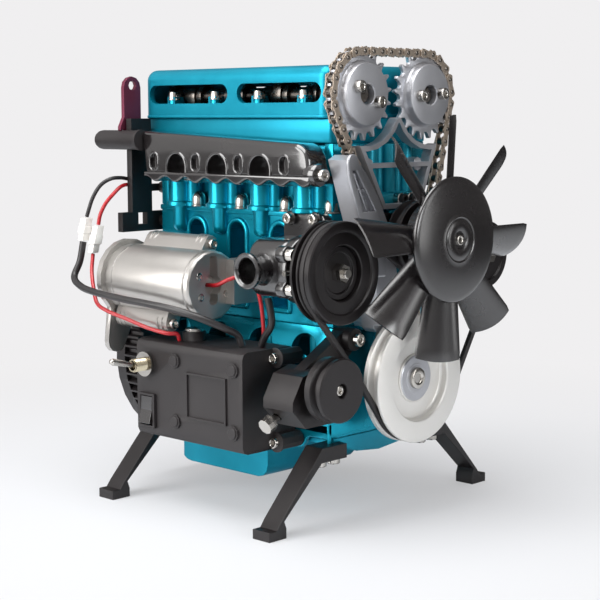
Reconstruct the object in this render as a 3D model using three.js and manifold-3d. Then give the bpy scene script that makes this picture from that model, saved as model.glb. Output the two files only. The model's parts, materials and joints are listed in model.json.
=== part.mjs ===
// A motor-driven display model of an inline four cylinder, twin cam, four stroke engine.
// Millimetres. X runs across the engine (the exhaust side is minus X), Y runs along it
// (the fan is at minus Y, the flywheel at plus Y) and Z is up, with the feet on Z = 0.

import * as THREE from 'three';
import { mergeVertices } from 'three/addons/utils/BufferGeometryUtils.js';
import Module from 'manifold-3d';

const wasm = await Module();
wasm.setup();

// Fits and facets
const gap = 0.3; // between pieces that meet on curved faces or that move
const overrun = 4; // how far a cutter passes the face that it cuts
const facetSag = 0.25; // how far a flat facet may fall inside its arc
const fewestSides = 8; // of anything round
const domeShare = 0.7; // the shoulder of a domed end, as a share of its radius
const quarterTurn = Math.PI / 2;
const wholeTurn = 2 * Math.PI;

// The stack of castings
const crankHeight = 61.5;
const sumpHeight = 12;
const railHeight = 36; // oil pan to crankcase joint
const splitHeight = 84; // crankcase to block joint
const deckHeight = 133;
const headTop = 162.5;
const carrierHeight = 10.5;
const camRise = 9.9; // from the carrier's rim to the camshafts
const coverRise = 12.4; // from the camshafts to the cover's top
const carrierTop = headTop + carrierHeight;
const camHeight = carrierTop + camRise;
const coverTop = camHeight + coverRise;
const cylinderCount = 4;
const cylinderSpacing = 26.8;
const frontCylinder = -30.7;
const frontWall = 15.3; // from the front cylinder's axis to the front face
const rearWall = 14.3;
const frontFace = frontCylinder - frontWall;
const rearCylinder = frontCylinder + (cylinderCount - 1) * cylinderSpacing;
const rearFace = rearCylinder + rearWall;
const blockHalf = 30;
const headHalf = 26;
const wall = 2.6;
const throwRadius = 8;
const pistonRadius = 8.2;
const boreRadius = pistonRadius + gap;
const linerRadius = 10.6;

const crank = { journalRadius: 4.2, pinRadius: 3.6, webThickness: 4, webRadius: 5.5, counterRadius: 10,
  counterDrop: 3, noseRadius: 4.2, noseEnd: -65, pinHalf: 4, sprocketHub: 6.2, spinGap: 1 };

const piston = { skirt: 6, crown: 8, pinRadius: 2, wallShare: 0.82, rodLength: 53.5 };

const pan = {
  half: 29.6, shallow: 27, noseRise: 6, sumpFront: -5.5, sumpRear: 54,
  frontCorner: 6, rearCorner: 8,
};

const crankcase = {
  half: 33, shoulder: 70, skirtBottom: 30.5, skirtThickness: 2.6, lobe: 7,
  lobeSlopeShare: 0.125,
  bulkhead: 5, bayTop: 78, windowWidth: 15, windowBottom: 50, windowTop: 81,
};

const block = {
  windowWidth: 10, windowBottom: 90, windowTop: 127, windowOffset: 13.4, windowDepth: 20,
  rimWidth: 1.6, rimRise: 1, bossRadius: 4.2, bossHeight: 11,
};

const head = { columnRadius: 5.3, columnReach: 30.5, columnTop: 146, collarRadius: 6.6, collarHeight: 2,
  endWall: 5 };

const cam = {
  spread: 20.625, height: camHeight, shaftRadius: 3.6, lobeRadius: 4.6, lift: 2.4,
  lobeWidth: 5, lobeReach: 8, rearEnd: 64,
};

const cover = {
  half: 33, front: -46, rear: 72.5, wall: 2.6, edge: 5, slotBelow: 3.2, slotAbove: 5.3,
  frontSlot: [-42, 9], rearSlot: [15, 68],
};

const carrier = { half: 31, rimWidth: 3.6, saddleWidth: 5, postHalf: 2.6, postReach: 27.5,
  saddlePitch: 28, firstSaddle: -27.8 };

const manifold = {
  inner: -32, outer: -45, front: -36.8, rear: 60.5, flange: 2, frontRise: 14.8, rearRise: 19.4,
  pocketWidth: 12.6, pocketRise: 9.6, noseRadius: 9, noseSlant: 1.2, flangeFront: -48.4,
  flangeRear: 58, scallop: 1.4,
};
const manifoldBottom = head.columnTop + manifold.flange;

const pipe = { radius: 4.5, x: -45, rise: 15.1, rear: 90.5, bore: 3 };
const pipeHeight = manifoldBottom + pipe.rise;

const lift = { left: -44.7, right: -34.4, flare: -47, tab: -22, thickness: 2, eye: 2.2, eyeX: -39.4,
  eyeDrop: 7, topRise: 4.2, neckRise: 0.6, footDrop: 7.5, shoulder: 4.4 };

const rearBar = { left: -44.5, right: -32.5, front: 68, rear: 71.5, footDrop: 12.5, topRise: 9.9,
  footLeft: -50.5, footRight: -22, footHeight: 9, windowLeft: -41, windowRight: -35.6, windowRise: 3.1,
  armRise: 6, armThickness: 3.3, postRadius: 3, postX: -25.6 };

const intake = { flange: 2.5, runnerRadius: 5, plenumInner: 36, plenumOuter: 52, bottom: 142, top: 160,
  height: 150, corner: 4, throatRadius: 5.5, throatBore: 4.1, throatLength: 8 };

const motor = {
  x: -55.5, height: 101, radius: 15.2, front: 1, rear: 57, plateRear: 60, plateRadius: 17.5,
  slotHalf: 2.6, slotBottom: 92.5, slotTop: 114.3, eyeRadius: 5, recess: 5, bevel: 0.75,
  upperLug: { x: -45.5, height: 118, radius: 3.7, front: 13, rear: 53 },
  lowerLug: { x: -62, height: 83.2, radius: 3.7, front: 21, rear: 56 },
  armTop: 112, armBottom: 90, footX: -64, footHeight: 72, footRadius: 5, shaftRadius: 1.5,
};

const gears = {
  module: 1.4, flywheelTeeth: 64, reductionTeeth: 14, pinionTeeth: 9, front: 65, toothRear: 74,
  rear: 80, smallRear: 71,
  rimWidth: 6, webInset: 6, hubRadius: 11, spindleRadius: 2, addendumShare: 0.85,
  dedendumShare: 1.2, tipShare: 0.2, rootShare: 0.32,
};

const box = {
  inner: -33.4, outer: -65, front: -26.5, rear: 42, bottom: 31.5, top: 75.3, edge: 3,
  bossRadius: 3.4, bossRise: 1, bossFront: -21, bossRear: 16, bossLow: 40.5, bossHigh: 67.5,
  frameFront: -17, frameRear: 8.5, frameBottom: 43, frameTop: 63.5, frameRise: 1,
  lugRadius: 3.8, lugOuter: -47,
  upperLug: { y: -28.2, height: 71.5 }, lowerLug: { y: -28.2, height: 34.8 },
};

const toggle = { y: 34.5, height: 64.3, nutAcross: 8, nutThickness: 2, bushRadius: 3, bushTip: -74,
  boreRadius: 2.2, boreDepth: 6, ballRadius: 1.8, pivot: -72, tip: -87, stemRadius: 1.1, tipRadius: 1.6,
  tilt: 13 };

const rocker = { y: 34.3, height: 43.3, frameWide: 10.5, frameTall: 15.5, framePlate: 1.5, wide: 7.4,
  tall: 12.2, proud: 1.6, depth: 4, tilt: 9 };

const button = { x: -52, y: 17.5, collarRadius: 5.3, collarTop: 79.3, capRadius: 4.3, capTop: 80.8,
  stemRadius: 2.2, stemBottom: 71.5 };

const tension = { headX: -69.2, headHeight: 47.1, y: -44, tipX: -52.3, tipHeight: 54.7, headRadius: 3.4,
  headLength: 4.4, screwRadius: 1.9 };

// The accessory drive
const beltPlane = -66;
const beltWidth = 2.4;
const beltThickness = 2.4;
const grooveHalf = beltWidth / 2 + gap;

const crankPulley = { radius: 27.9, groove: 25, front: -69.7, rear: -61.3, dish: 18.3, dishDepth: 3.45,
  bossRadius: 10.6, bossDepth: 3.1 };
const fanPulley = { radius: 15.6, groove: 13, front: -70, rear: -63 };
const pumpPulley = { x: -49.4, height: 110.9, radius: 21.1, groove: 18.2, front: -70.5, rear: -59.8,
  midRim: 2.5, ring: 17, ringDepth: 1, well: 11, wellDepth: 4, boss: 8.5, bossDepth: 3, nutAcross: 7,
  nutTop: -72.5, shaftRadius: 2.5 };
const idler = { x: -50.3, height: 62.8, radius: 13.3, groove: 11, front: -70.1, rear: -60.9,
  recess: 3, recessDepth: 3, pinRadius: 2 };
const alternator = { x: 46, height: 112, radius: 15, front: -56, rear: -22, pulleyRadius: 15,
  groove: 12.2, pulleyFront: -70, pulleyRear: -61, shaftRadius: 2.5, armHalf: 5, snout: 9 };

const fan = {
  height: 122.5, domeRadius: 26.4, domeRim: -88, domeTop: -91, rimThickness: 2, drumRadius: 15,
  drumRear: -73, bladeCount: 8, bladeFacets: 4, firstBlade: -4, tipRadius: 50.6, rootRadius: 13, rootChord: 12.8,
  tipChord: 20, bladeMiddle: -81.5, bladeThickness: 1.6, pitch: -38, camber: -2.2, tipBulge: 1.4, shaftRadius: 3,
  bossRadius: 6.5, bossFront: -61.5, neckRadius: 4.6, seatHalf: 11, seatBottom: 108, seatTop: 132,
  seatFront: -49,
};

// The timing drive
const chain = { pitch: 5.6, plane: -52.6, plateOuter: 2.5, plateInner: 1.4, plateHalf: 2.5,
  waistHalf: 1.9, pinRadius: 1.15, camTeeth: 20, crankTeeth: 10, guideRadius: 86, guideFace: -4.3,
  guideHeight: 95.3, solveReach: 20, solveRounds: 40 };
const sprocket = { toothWidth: 2.2, discRadius: 13.2, discFront: -57.4, discRear: -49,
  tipShare: 0.2, rootShare: 0.36, tipRise: 1.3, rootDrop: 1.9, seat: 1.1 };
const pitchRadius = (teeth) => chain.pitch / (2 * Math.sin(Math.PI / teeth));

const guide = { front: -57, rear: -52, left: -25, right: 25.9, lowLeft: -9.9, lowRight: 14.9, strut: 2,
  apexDrop: 9.7, leftDrop: 21.6, rightDrop: 19.5, footRise: 1.4, ribDrop: 30.9, hollowGap: 1.4,
  postRadius: 3, postX: 16 };
const tensioner = { front: -62.5, depth: 10.6, topDrop: 24.9, pivotX: -14.6, pivotHeight: 86,
  pivotRadius: 4, lowEnd: 96, pocketDepth: 3, postRadius: 2.6,
  back: [[-39.3, 26.9], [-21.5, 76.9]], // X and the drop below the cams
  pocket: [[-36.3, 30.9], [-29.9, 48.9], [-21.2, 48.9], [-34.2, 30.9]] };

const pump = {
  front: -50, rear: -24, left: -62, right: -31, bottom: 98, top: 124, corner: 5, flangeRadius: 17.5,
  flangeThickness: 4, screwReach: 14.4, screwAngles: [30, 150, 210, 330], screwRadius: 2.6, screwHead: 3,
    inletY: -34, inletRadius: 6.4,
  inletBore: 5.2, inletTip: -70, lipRadius: 7.6, lip: 2, topLeft: -35.5, topFront: -46,
  topRear: -22, noseRadius: 9, noseFront: -58.8,
};

const bracket = { armX: -26.5, armHeight: 79.7, armRadius: 5.2, screwRadius: 3, rear: -46.3, front: -57,
  bodyLeft: -66, bodyLow: 46.5, bodyHigh: 62, bodyRear: -40, chin: 7.8, jaw: 54.6, cheek: 58.4, crown: 68.2,
  plate: 6, bossRadius: 8, bossFront: -60.4 };

const leg = { padInner: 62.8, padOuter: 72.9, padHeight: 4.2, width: 10, frontY: -45.1, rearY: 56.3,
  armBottom: 28, armTop: 34.4, armInner: 25.6, upperKnee: 40.9, lowerKnee: 41.3, lowerHeel: 64,
  upperHeel: 66.1, heelHeight: 7.3, toe: 2.4, screwReach: [29, 37.5], screwRadius: 3, screwHeight: 2.6 };

const wire = { radius: 0.9, sides: 8, hose: 1.6 };

// Each connector leans: its top and bottom are given by X and by the drop below the deck
const plug = { half: 2.6, blackY: 81.5, blackTop: [-61, 5.9], blackFoot: [-63.3, 16.2], redY: 77,
  redTop: [-57.8, 9.6], redFoot: [-61.3, 21.9] };

const cylinders = Array.from({ length: cylinderCount }, (_, i) => frontCylinder + i * cylinderSpacing);

// Finishes
const finishes = {
  blueSatin: { color: 0x1595bb, roughness: 0.42, metalness: 0.85 },
  blueBright: { color: 0x0aa0c8, roughness: 0.25, metalness: 0.9 },
  silver: { color: 0xb8b6b3, roughness: 0.35, metalness: 0.9 },
  steel: { color: 0xa8a29a, roughness: 0.3, metalness: 0.95 },
  blackMetal: { color: 0x2b282a, roughness: 0.5, metalness: 0.3 },
  blackGloss: { color: 0x1d1a1c, roughness: 0.25, metalness: 0.3 },
  blackPlastic: { color: 0x3a3537, roughness: 0.6, metalness: 0.0 },
  rubber: { color: 0x1c1b1c, roughness: 0.8, metalness: 0.0 },
  maroon: { color: 0x6b2a3f, roughness: 0.4, metalness: 0.5 },
  red: { color: 0xc9242c, roughness: 0.45, metalness: 0.0 },
  white: { color: 0xe4e2de, roughness: 0.5, metalness: 0.0 },
};

// Helpers: outlines are lists of [u, v] points, drawn counter-clockwise

/** Points of an arc about (u, v), as many as the facet sag asks for. */
function arc(u, v, radius, from, to) {
  const step = 2 * Math.acos(Math.max(0, 1 - facetSag / radius));
  const count = Math.max(2, Math.ceil(Math.abs(to - from) / step));
  return Array.from({ length: count + 1 }, (_, i) => {
    const angle = from + ((to - from) * i) / count;
    return [u + radius * Math.cos(angle), v + radius * Math.sin(angle)];
  });
}

/** A whole circle, without its last point. */
function circle(u, v, radius) {
  return arc(u, v, radius, 0, wholeTurn).slice(0, -1);
}

/** A rectangle with rounded corners. */
function rounded(u0, u1, v0, v1, radius) {
  return [
    ...arc(u1 - radius, v0 + radius, radius, -quarterTurn, 0),
    ...arc(u1 - radius, v1 - radius, radius, 0, quarterTurn),
    ...arc(u0 + radius, v1 - radius, radius, quarterTurn, Math.PI),
    ...arc(u0 + radius, v0 + radius, radius, Math.PI, 3 * quarterTurn),
  ];
}

/** A plain rectangle. */
function rectangle(u0, u1, v0, v1) {
  return [[u0, v0], [u1, v0], [u1, v1], [u0, v1]];
}

/** An opening with a round top, standing on v0. */
function arch(u, half, v0, v1) {
  return [[u - half, v0], [u + half, v0], ...arc(u, v1 - half, half, 0, Math.PI)];
}

/** A regular polygon by its width across flats. */
function hexagon(u, v, across) {
  const radius = across / Math.sqrt(3);
  const sides = 6;
  return Array.from({ length: sides }, (_, i) => {
    const angle = (i * wholeTurn) / sides;
    return [u + radius * Math.cos(angle), v + radius * Math.sin(angle)];
  });
}

/** The outline that wraps two circles. */
function strap(u0, v0, r0, u1, v1, r1) {
  const along = Math.atan2(v1 - v0, u1 - u0);
  const lean = Math.acos((r0 - r1) / Math.hypot(u1 - u0, v1 - v0));
  return [
    ...arc(u0, v0, r0, along + lean, along + wholeTurn - lean),
    ...arc(u1, v1, r1, along - lean, along + lean),
  ];
}

/** A convex outline with every edge moved inwards. */
function inset(outline, distance) {
  const edges = outline.map(([u, v], i) => {
    const [nextU, nextV] = outline[(i + 1) % outline.length];
    const length = Math.hypot(nextU - u, nextV - v);
    const [du, dv] = [(nextU - u) / length, (nextV - v) / length];
    return { u: u - distance * dv, v: v + distance * du, du, dv };
  });
  return edges.map(({ u, v, du, dv }, i) => {
    const last = edges.at(i - 1);
    const along = ((last.u - u) * last.dv - (last.v - v) * last.du) / (du * last.dv - dv * last.du);
    return [u + along * du, v + along * dv];
  });
}

const degrees = (angle) => THREE.MathUtils.degToRad(angle);

const axisX = new THREE.Vector3(1, 0, 0);
const axisY = new THREE.Vector3(0, 1, 0);
const axisZ = new THREE.Vector3(0, 0, 1);
const minusY = axisY.clone().negate();
const minusZ = axisZ.clone().negate();

/** A closed geometry as a solid that can be joined and cut, turned outwards if it is inside out. */
function solid(geometry) {
  const bare = geometry.clone();
  bare.deleteAttribute('normal');
  bare.deleteAttribute('uv');
  const merged = mergeVertices(bare);
  const points = Float32Array.from(merged.attributes.position.array);
  const corners = merged.index.array;
  const faces = [];
  for (let i = 0; i < corners.length; i += 3) {
    const [a, b, c] = [corners[i], corners[i + 1], corners[i + 2]];
    if (a !== b && b !== c && c !== a) faces.push([a, b, c]);
  }
  const corner = (k) => new THREE.Vector3().fromArray(points, 3 * k);
  const volume = faces.reduce((sum, [a, b, c]) => sum + corner(a).dot(corner(b).cross(corner(c))), 0);
  const turned = volume < 0 ? faces.map(([a, b, c]) => [a, c, b]) : faces;
  const triVerts = Uint32Array.from(turned.flat());
  return new wasm.Manifold(new wasm.Mesh({ numProp: 3, vertProperties: points, triVerts }));
}

/** The joined solids. */
function join(first, ...others) {
  return others.flat().reduce((whole, other) => whole.add(other), first);
}

/** The first solid less the others. */
function cut(first, ...others) {
  return others.flat().reduce((whole, other) => whole.subtract(other), first);
}

function extruded(outline, depth, basis, start) {
  const shape = new THREE.Shape(outline.map(([u, v]) => new THREE.Vector2(u, v)));
  const geometry = new THREE.ExtrudeGeometry(shape, { depth, bevelEnabled: false, steps: 1 });
  geometry.applyMatrix4(new THREE.Matrix4().makeBasis(...basis));
  geometry.translate(start.x, start.y, start.z);
  return solid(geometry);
}

/** An outline drawn in Y and Z, from x0 to x1. */
function acrossPlate(outline, x0, x1) {
  return extruded(outline, x1 - x0, [axisY, axisZ, axisX], new THREE.Vector3(x0, 0, 0));
}

/** An outline drawn in X and Z, from y0 to y1. */
function alongPlate(outline, y0, y1) {
  return extruded(outline, y1 - y0, [axisX, axisZ, minusY], new THREE.Vector3(0, y1, 0));
}

/** An outline drawn in X and Y, from z0 to z1. */
function levelPlate(outline, z0, z1) {
  return extruded(outline, z1 - z0, [axisX, axisY, axisZ], new THREE.Vector3(0, 0, z0));
}

function turned(profile, basis, start) {
  const reach = Math.max(...profile.map(([radius]) => radius));
  const count = Math.max(fewestSides, Math.ceil(Math.PI / Math.acos(1 - facetSag / reach)));
  const closed = profile[0][0] > 0 || profile.at(-1)[0] > 0 ? [...profile, profile[0]] : profile;
  const geometry = new THREE.LatheGeometry(closed.map(([r, h]) => new THREE.Vector2(r, h)), count);
  geometry.applyMatrix4(new THREE.Matrix4().makeBasis(...basis));
  geometry.translate(start.x, start.y, start.z);
  return solid(geometry);
}

/** A profile of [radius, Y] turned about an axis along Y. */
function turnedAlong(profile, x = 0, z = 0) {
  return turned(profile, [axisX, axisY, axisZ], new THREE.Vector3(x, 0, z));
}

/** A profile of [radius, X] turned about an axis along X. */
function turnedAcross(profile, y = 0, z = 0) {
  return turned(profile, [axisY, axisX, minusZ], new THREE.Vector3(0, y, z));
}

/** A profile of [radius, Z] turned about an upright axis. */
function turnedUp(profile, x = 0, y = 0) {
  return turned(profile, [axisX, axisZ, minusY], new THREE.Vector3(x, y, 0));
}

const bar = (radius, from, to) => [[0, from], [radius, from], [radius, to], [0, to]];
const ring = (inner, outer, from, to) => [[inner, from], [outer, from], [outer, to], [inner, to]];

/** A round rod between two points. */
function rod(from, to, radius) {
  const start = new THREE.Vector3(...from);
  const way = new THREE.Vector3(...to).sub(start);
  const sides = Math.max(fewestSides, Math.ceil(Math.PI / Math.acos(1 - facetSag / radius)));
  const geometry = new THREE.CylinderGeometry(radius, radius, way.length(), sides);
  geometry.translate(0, way.length() / 2, 0);
  geometry.applyQuaternion(new THREE.Quaternion().setFromUnitVectors(axisY, way.clone().normalize()));
  geometry.translate(start.x, start.y, start.z);
  return solid(geometry);
}

function boxOf(x0, x1, y0, y1, z0, z1) {
  const geometry = new THREE.BoxGeometry(x1 - x0, y1 - y0, z1 - z0);
  geometry.translate((x0 + x1) / 2, (y0 + y1) / 2, (z0 + z1) / 2);
  return solid(geometry);
}

const model = new THREE.Group();
model.name = 'four_stroke_engine_model';

/** A named piece of the engine, standing at its own place. */
function add(name, shape, finish, place = [0, 0, 0], turn = [0, 0, 0]) {
  const source = shape.getMesh();
  const geometry = new THREE.BufferGeometry();
  geometry.setAttribute('position', new THREE.BufferAttribute(Float32Array.from(source.vertProperties), 3));
  geometry.setIndex(Array.from(source.triVerts));
  geometry.computeVertexNormals();
  const mesh = new THREE.Mesh(geometry, new THREE.MeshStandardMaterial(finish));
  mesh.name = name;
  mesh.position.set(...place);
  mesh.rotation.set(...turn);
  model.add(mesh);
  return mesh;
}

// Oil pan: a shallow nose and a deep sump, open at the rail

const legPockets = [leg.frontY, leg.rearY].flatMap((y) => [-1, 1].map((side) => boxOf(
  side < 0 ? -blockHalf - overrun : leg.armInner - gap,
  side < 0 ? gap - leg.armInner : blockHalf + overrun,
  y - leg.width / 2 - gap, y + leg.width / 2 + gap, sumpHeight - overrun, leg.armTop)));

function oilPan() {
  const sumpProfile = (inset) => [
    [rearFace - inset, railHeight + (inset ? overrun : 0)],
    [frontFace + inset, railHeight + (inset ? overrun : 0)],
    [frontFace + inset, pan.shallow + inset],
    [pan.sumpFront + inset, pan.shallow + inset],
    ...arc(pan.sumpFront + pan.frontCorner + inset, sumpHeight + pan.frontCorner + inset,
      pan.frontCorner, Math.PI, 3 * quarterTurn),
    ...arc(pan.sumpRear - pan.rearCorner - inset, sumpHeight + pan.rearCorner + inset,
      pan.rearCorner, 3 * quarterTurn, wholeTurn),
    [pan.sumpRear - inset, leg.armTop - wall + inset],
    [rearFace - inset, leg.armTop - wall + inset],
  ];
  const nose = [
    [-pan.half - overrun, sumpHeight], [-pan.half - overrun, pan.shallow + pan.noseRise],
    [-pan.half, pan.shallow + pan.noseRise],
    [-pan.half / 2, pan.shallow + pan.noseRise / 4], [0, pan.shallow],
    [pan.half / 2, pan.shallow + pan.noseRise / 4], [pan.half, pan.shallow + pan.noseRise],
    [pan.half + overrun, pan.shallow + pan.noseRise], [pan.half + overrun, sumpHeight],
  ];
  const outer = acrossPlate(sumpProfile(0), -pan.half, pan.half);
  const inside = acrossPlate([
    [pan.sumpRear - wall, railHeight + overrun], [frontFace + leg.width, railHeight + overrun],
    [frontFace + leg.width, pan.shallow + pan.noseRise + wall],
    [pan.sumpFront + wall, pan.shallow + pan.noseRise + wall],
    [pan.sumpFront + wall, sumpHeight + wall], [pan.sumpRear - pan.rearCorner, sumpHeight + wall],
    [pan.sumpRear - wall, sumpHeight + pan.rearCorner],
  ], gap + wall - leg.armInner, leg.armInner - wall - gap);
  return cut(outer, inside, legPockets,
    alongPlate(nose, frontFace - overrun, pan.sumpFront),
    turnedAcross(bar(leg.screwRadius, -pan.half - overrun, wall - pan.half), pan.sumpFront + wall,
      pan.shallow + wall));
}
add('oil_pan', oilPan(), finishes.blueSatin);

// Crankcase: side walls with arched windows, bulkheads that carry the crankshaft, a scalloped skirt

const skirtPoints = () => {
  const points = [[rearFace, railHeight + crankcase.lobe], [frontFace, railHeight + crankcase.lobe]];
  const lobes = 2 * cylinderCount;
  const step = (rearFace - frontFace) / lobes;
  for (let i = 0; i < lobes; i += 1) {
    const start = frontFace + i * step;
    const drop = i % 2 ? crankcase.skirtBottom : railHeight;
    const slope = crankcase.lobeSlopeShare * step;
    points.push([start + slope, drop], [start + step - slope, drop]);
  }
  return points;
};

function crankcaseCasting() {
  const half = crankcase.half;
  const outline = [
    [-blockHalf, railHeight], [blockHalf, railHeight], [half, railHeight + crankcase.skirtThickness],
    [half, crankcase.shoulder], [blockHalf, splitHeight], [-blockHalf, splitHeight],
    [-half, crankcase.shoulder], [-half, railHeight + crankcase.skirtThickness],
  ];
  const bayHalf = (cylinderSpacing - crankcase.bulkhead) / 2;
  const inner = blockHalf - wall;
  const bays = cylinders.map((y) => boxOf(-inner, inner, y - bayHalf, y + bayHalf,
    railHeight - overrun, crankcase.bayTop));
  const bores = cylinders.map((y) => turnedUp(bar(boreRadius, crankcase.bayTop - overrun,
    splitHeight + overrun), 0, y));
  const windows = cylinders.map((y) => acrossPlate(
    rounded(y - crankcase.windowWidth / 2, y + crankcase.windowWidth / 2, crankcase.windowBottom,
      crankcase.windowTop - gap, crankcase.windowWidth / 2 - gap), -half - overrun, half + overrun));
  const skirts = [-1, 1].map((side) => {
    const face = side * (half - crankcase.skirtThickness / 2);
    return acrossPlate(skirtPoints(), face - crankcase.skirtThickness / 2,
      face + crankcase.skirtThickness / 2);
  });
  const mainBore = turnedAlong(bar(crank.journalRadius + gap, frontFace - overrun, rearFace + overrun),
    0, crankHeight);
  return cut(join(alongPlate(outline, frontFace, rearFace), skirts), bays, bores, windows, mainBore,
    legPockets);
}
add('crankcase', crankcaseCasting(), finishes.blueBright);

// Cylinder block: liners showing through arched windows, with a round boss under each exhaust port

const windowYs = cylinders.map((y) => y - block.windowOffset + block.windowWidth / 4);

function cylinderBlock() {
  const body = boxOf(-blockHalf, blockHalf, frontFace, rearFace, splitHeight, deckHeight);
  const sides = [-1, 1];
  const depth = block.windowDepth;
  const openings = windowYs.slice(1).flatMap((y) => sides.map((side) => {
    const face = side * (blockHalf + overrun);
    const floor = side * (blockHalf - depth);
    return acrossPlate(arch(y, block.windowWidth / 2, block.windowBottom, block.windowTop),
      Math.min(face, floor), Math.max(face, floor));
  }));
  const rims = windowYs.slice(1).flatMap((y) => sides.map((side) => {
    const half = block.windowWidth / 2;
    const face = side * blockHalf;
    const top = side * (blockHalf + block.rimRise);
    const plate = (grow) => arch(y, half + grow, block.windowBottom - grow, block.windowTop + grow);
    return cut(acrossPlate(plate(block.rimWidth), Math.min(face, top), Math.max(face, top)),
      acrossPlate(plate(0), Math.min(face, top) - overrun, Math.max(face, top) + overrun));
  }));
  const bossFoot = deckHeight - block.bossHeight;
  const bosses = cylinders.map((y) => turnedUp([
    [0, bossFoot - block.bossRadius / 2], [block.bossRadius * domeShare, bossFoot],
    [block.bossRadius, bossFoot + block.bossRadius / 2], [block.bossRadius, deckHeight], [0, deckHeight],
  ], -blockHalf, y));
  const bores = cylinders.map((y) => turnedUp(bar(boreRadius, splitHeight - overrun,
    deckHeight + overrun), 0, y));
  const liners = cylinders.map((y) => turnedUp(bar(linerRadius, splitHeight, deckHeight), 0, y));
  return cut(join(cut(body, openings), rims, bosses, liners), bores);
}
add('cylinder_block', cylinderBlock(), finishes.blueBright);

// Cylinder head: recessed sides between full width ends, with four exhaust columns on the deck

function cylinderHead() {
  const core = boxOf(-headHalf, headHalf, frontFace, rearFace, deckHeight, headTop);
  const ends = [[frontFace, frontFace + head.endWall], [rearFace - head.endWall, rearFace]].map(([a, b]) =>
    boxOf(-blockHalf, blockHalf, a, b, deckHeight, headTop));
  const columns = cylinders.map((y) => join(
    turnedUp([
      [0, deckHeight], [head.collarRadius, deckHeight], [head.collarRadius, deckHeight + head.collarHeight],
      [head.columnRadius, deckHeight + head.collarHeight], [head.columnRadius, head.columnTop],
      [0, head.columnTop],
    ], -head.columnReach, y),
    boxOf(-head.columnReach, wall - headHalf, y - head.columnRadius / 2, y + head.columnRadius / 2,
      deckHeight, head.columnTop)));
  return join(core, ends, columns);
}
add('cylinder_head', cylinderHead(), finishes.blueBright);

// Cam carrier: a tray with a rim, and a saddle for each camshaft at every post

const saddles = Array.from({ length: cylinderCount }, (_, i) =>
  carrier.firstSaddle + i * carrier.saddlePitch);

function camCarrier() {
  const half = carrier.half;
  const tray = cut(boxOf(-half, half, frontFace, cover.rear, headTop, carrierTop),
    boxOf(carrier.rimWidth - half, half - carrier.rimWidth, frontFace + carrier.rimWidth,
      cover.rear - carrier.rimWidth, carrierTop - wall, carrierTop + overrun));
  const towers = saddles.flatMap((y) => [-1, 1].map((side) => {
    const inner = cam.spread - cam.shaftRadius - wall;
    const outer = carrier.postReach + carrier.postHalf;
    return boxOf(side < 0 ? -outer : inner, side < 0 ? -inner : outer,
      y - carrier.saddleWidth / 2, y + carrier.saddleWidth / 2, headTop + gap, cam.height);
  }));
  const bearings = [-1, 1].map((side) => turnedAlong(bar(cam.shaftRadius + gap,
    frontFace - overrun, cover.rear + overrun), side * cam.spread, cam.height));
  return cut(join(tray, towers), bearings);
}
add('cam_carrier', camCarrier(), finishes.blueSatin);

// Valve cover: a shell open below, with two long slots each side and a round hole for each camshaft

function valveCover() {
  const { half, wall: thick, edge } = cover;
  const shell = (inset, foot) => [
    [inset - half, foot], [half - inset, foot],
    ...arc(half - edge, coverTop - edge, edge - inset, 0, Math.PI / 2),
    ...arc(edge - half, coverTop - edge, edge - inset, Math.PI / 2, Math.PI),
  ];
  const outer = alongPlate(shell(0, carrierTop), cover.front, cover.rear);
  const inner = alongPlate(shell(thick, carrierTop - overrun), cover.front + thick, cover.rear - thick);
  const [slotBottom, slotTop] = [cam.height - cover.slotBelow, cam.height + cover.slotAbove];
  const slots = [cover.frontSlot, cover.rearSlot].map(([front, rear]) => acrossPlate(
    rounded(front, rear, slotBottom, slotTop, (slotTop - slotBottom) / 2), -half - overrun, half + overrun));
  const eyes = [-1, 1].map((side) => turnedAlong(bar(cam.shaftRadius + gap,
    cover.front - overrun, cover.front + thick + overrun), side * cam.spread, cam.height));
  return cut(outer, inner, slots, eyes);
}
add('valve_cover', valveCover(), finishes.blueSatin);

// Exhaust manifold: a log over four ports, with deep arches between them and a scalloped flange

function exhaustManifold() {
  const m = manifold;
  const bottom = manifoldBottom;
  const top = bottom + m.frontRise;
  const side = [
    [m.front - m.noseRadius - m.noseSlant, bottom], [m.rear, bottom], [m.rear, bottom + m.rearRise],
    ...arc(m.front, top - m.noseRadius, m.noseRadius, quarterTurn, Math.PI),
  ];
  const log = acrossPlate(side, m.outer, m.inner);
  const pockets = cylinders.slice(1).map((y) => acrossPlate(
    arch(y - cylinderSpacing / 2, m.pocketWidth / 2, bottom, bottom + m.pocketRise),
    m.outer - overrun, (m.outer + m.inner) / 2));
  const lobes = cylinders.flatMap((y) => [y - cylinderSpacing / 4, y + cylinderSpacing / 4]);
  const flange = levelPlate([
    [gap - headHalf - head.endWall, m.flangeFront], [gap - headHalf - head.endWall, m.flangeRear],
    ...lobes.reverse().flatMap((y) => [[m.outer, y + cylinderSpacing / 6], [m.outer - m.scallop, y],
      [m.outer, y - cylinderSpacing / 6]]),
  ].reverse(), head.columnTop, bottom);
  return cut(join(log, flange), pockets);
}
add('exhaust_manifold', exhaustManifold(), finishes.blackGloss);

function exhaustPipe() {
  const { radius, rear, bore } = pipe;
  return turnedAlong([
    [0, manifold.rear], [radius, manifold.rear], [radius, rear - radius / 2], [radius * domeShare, rear],
    [bore, rear], [bore, rear - radius], [0, rear - radius],
  ]);
}
add('exhaust_pipe', exhaustPipe(), finishes.blackPlastic, [pipe.x, 0, pipeHeight]);

// Lifting bracket: a thin plate behind the valve cover with an eye at its top, notched over the pipe

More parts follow.
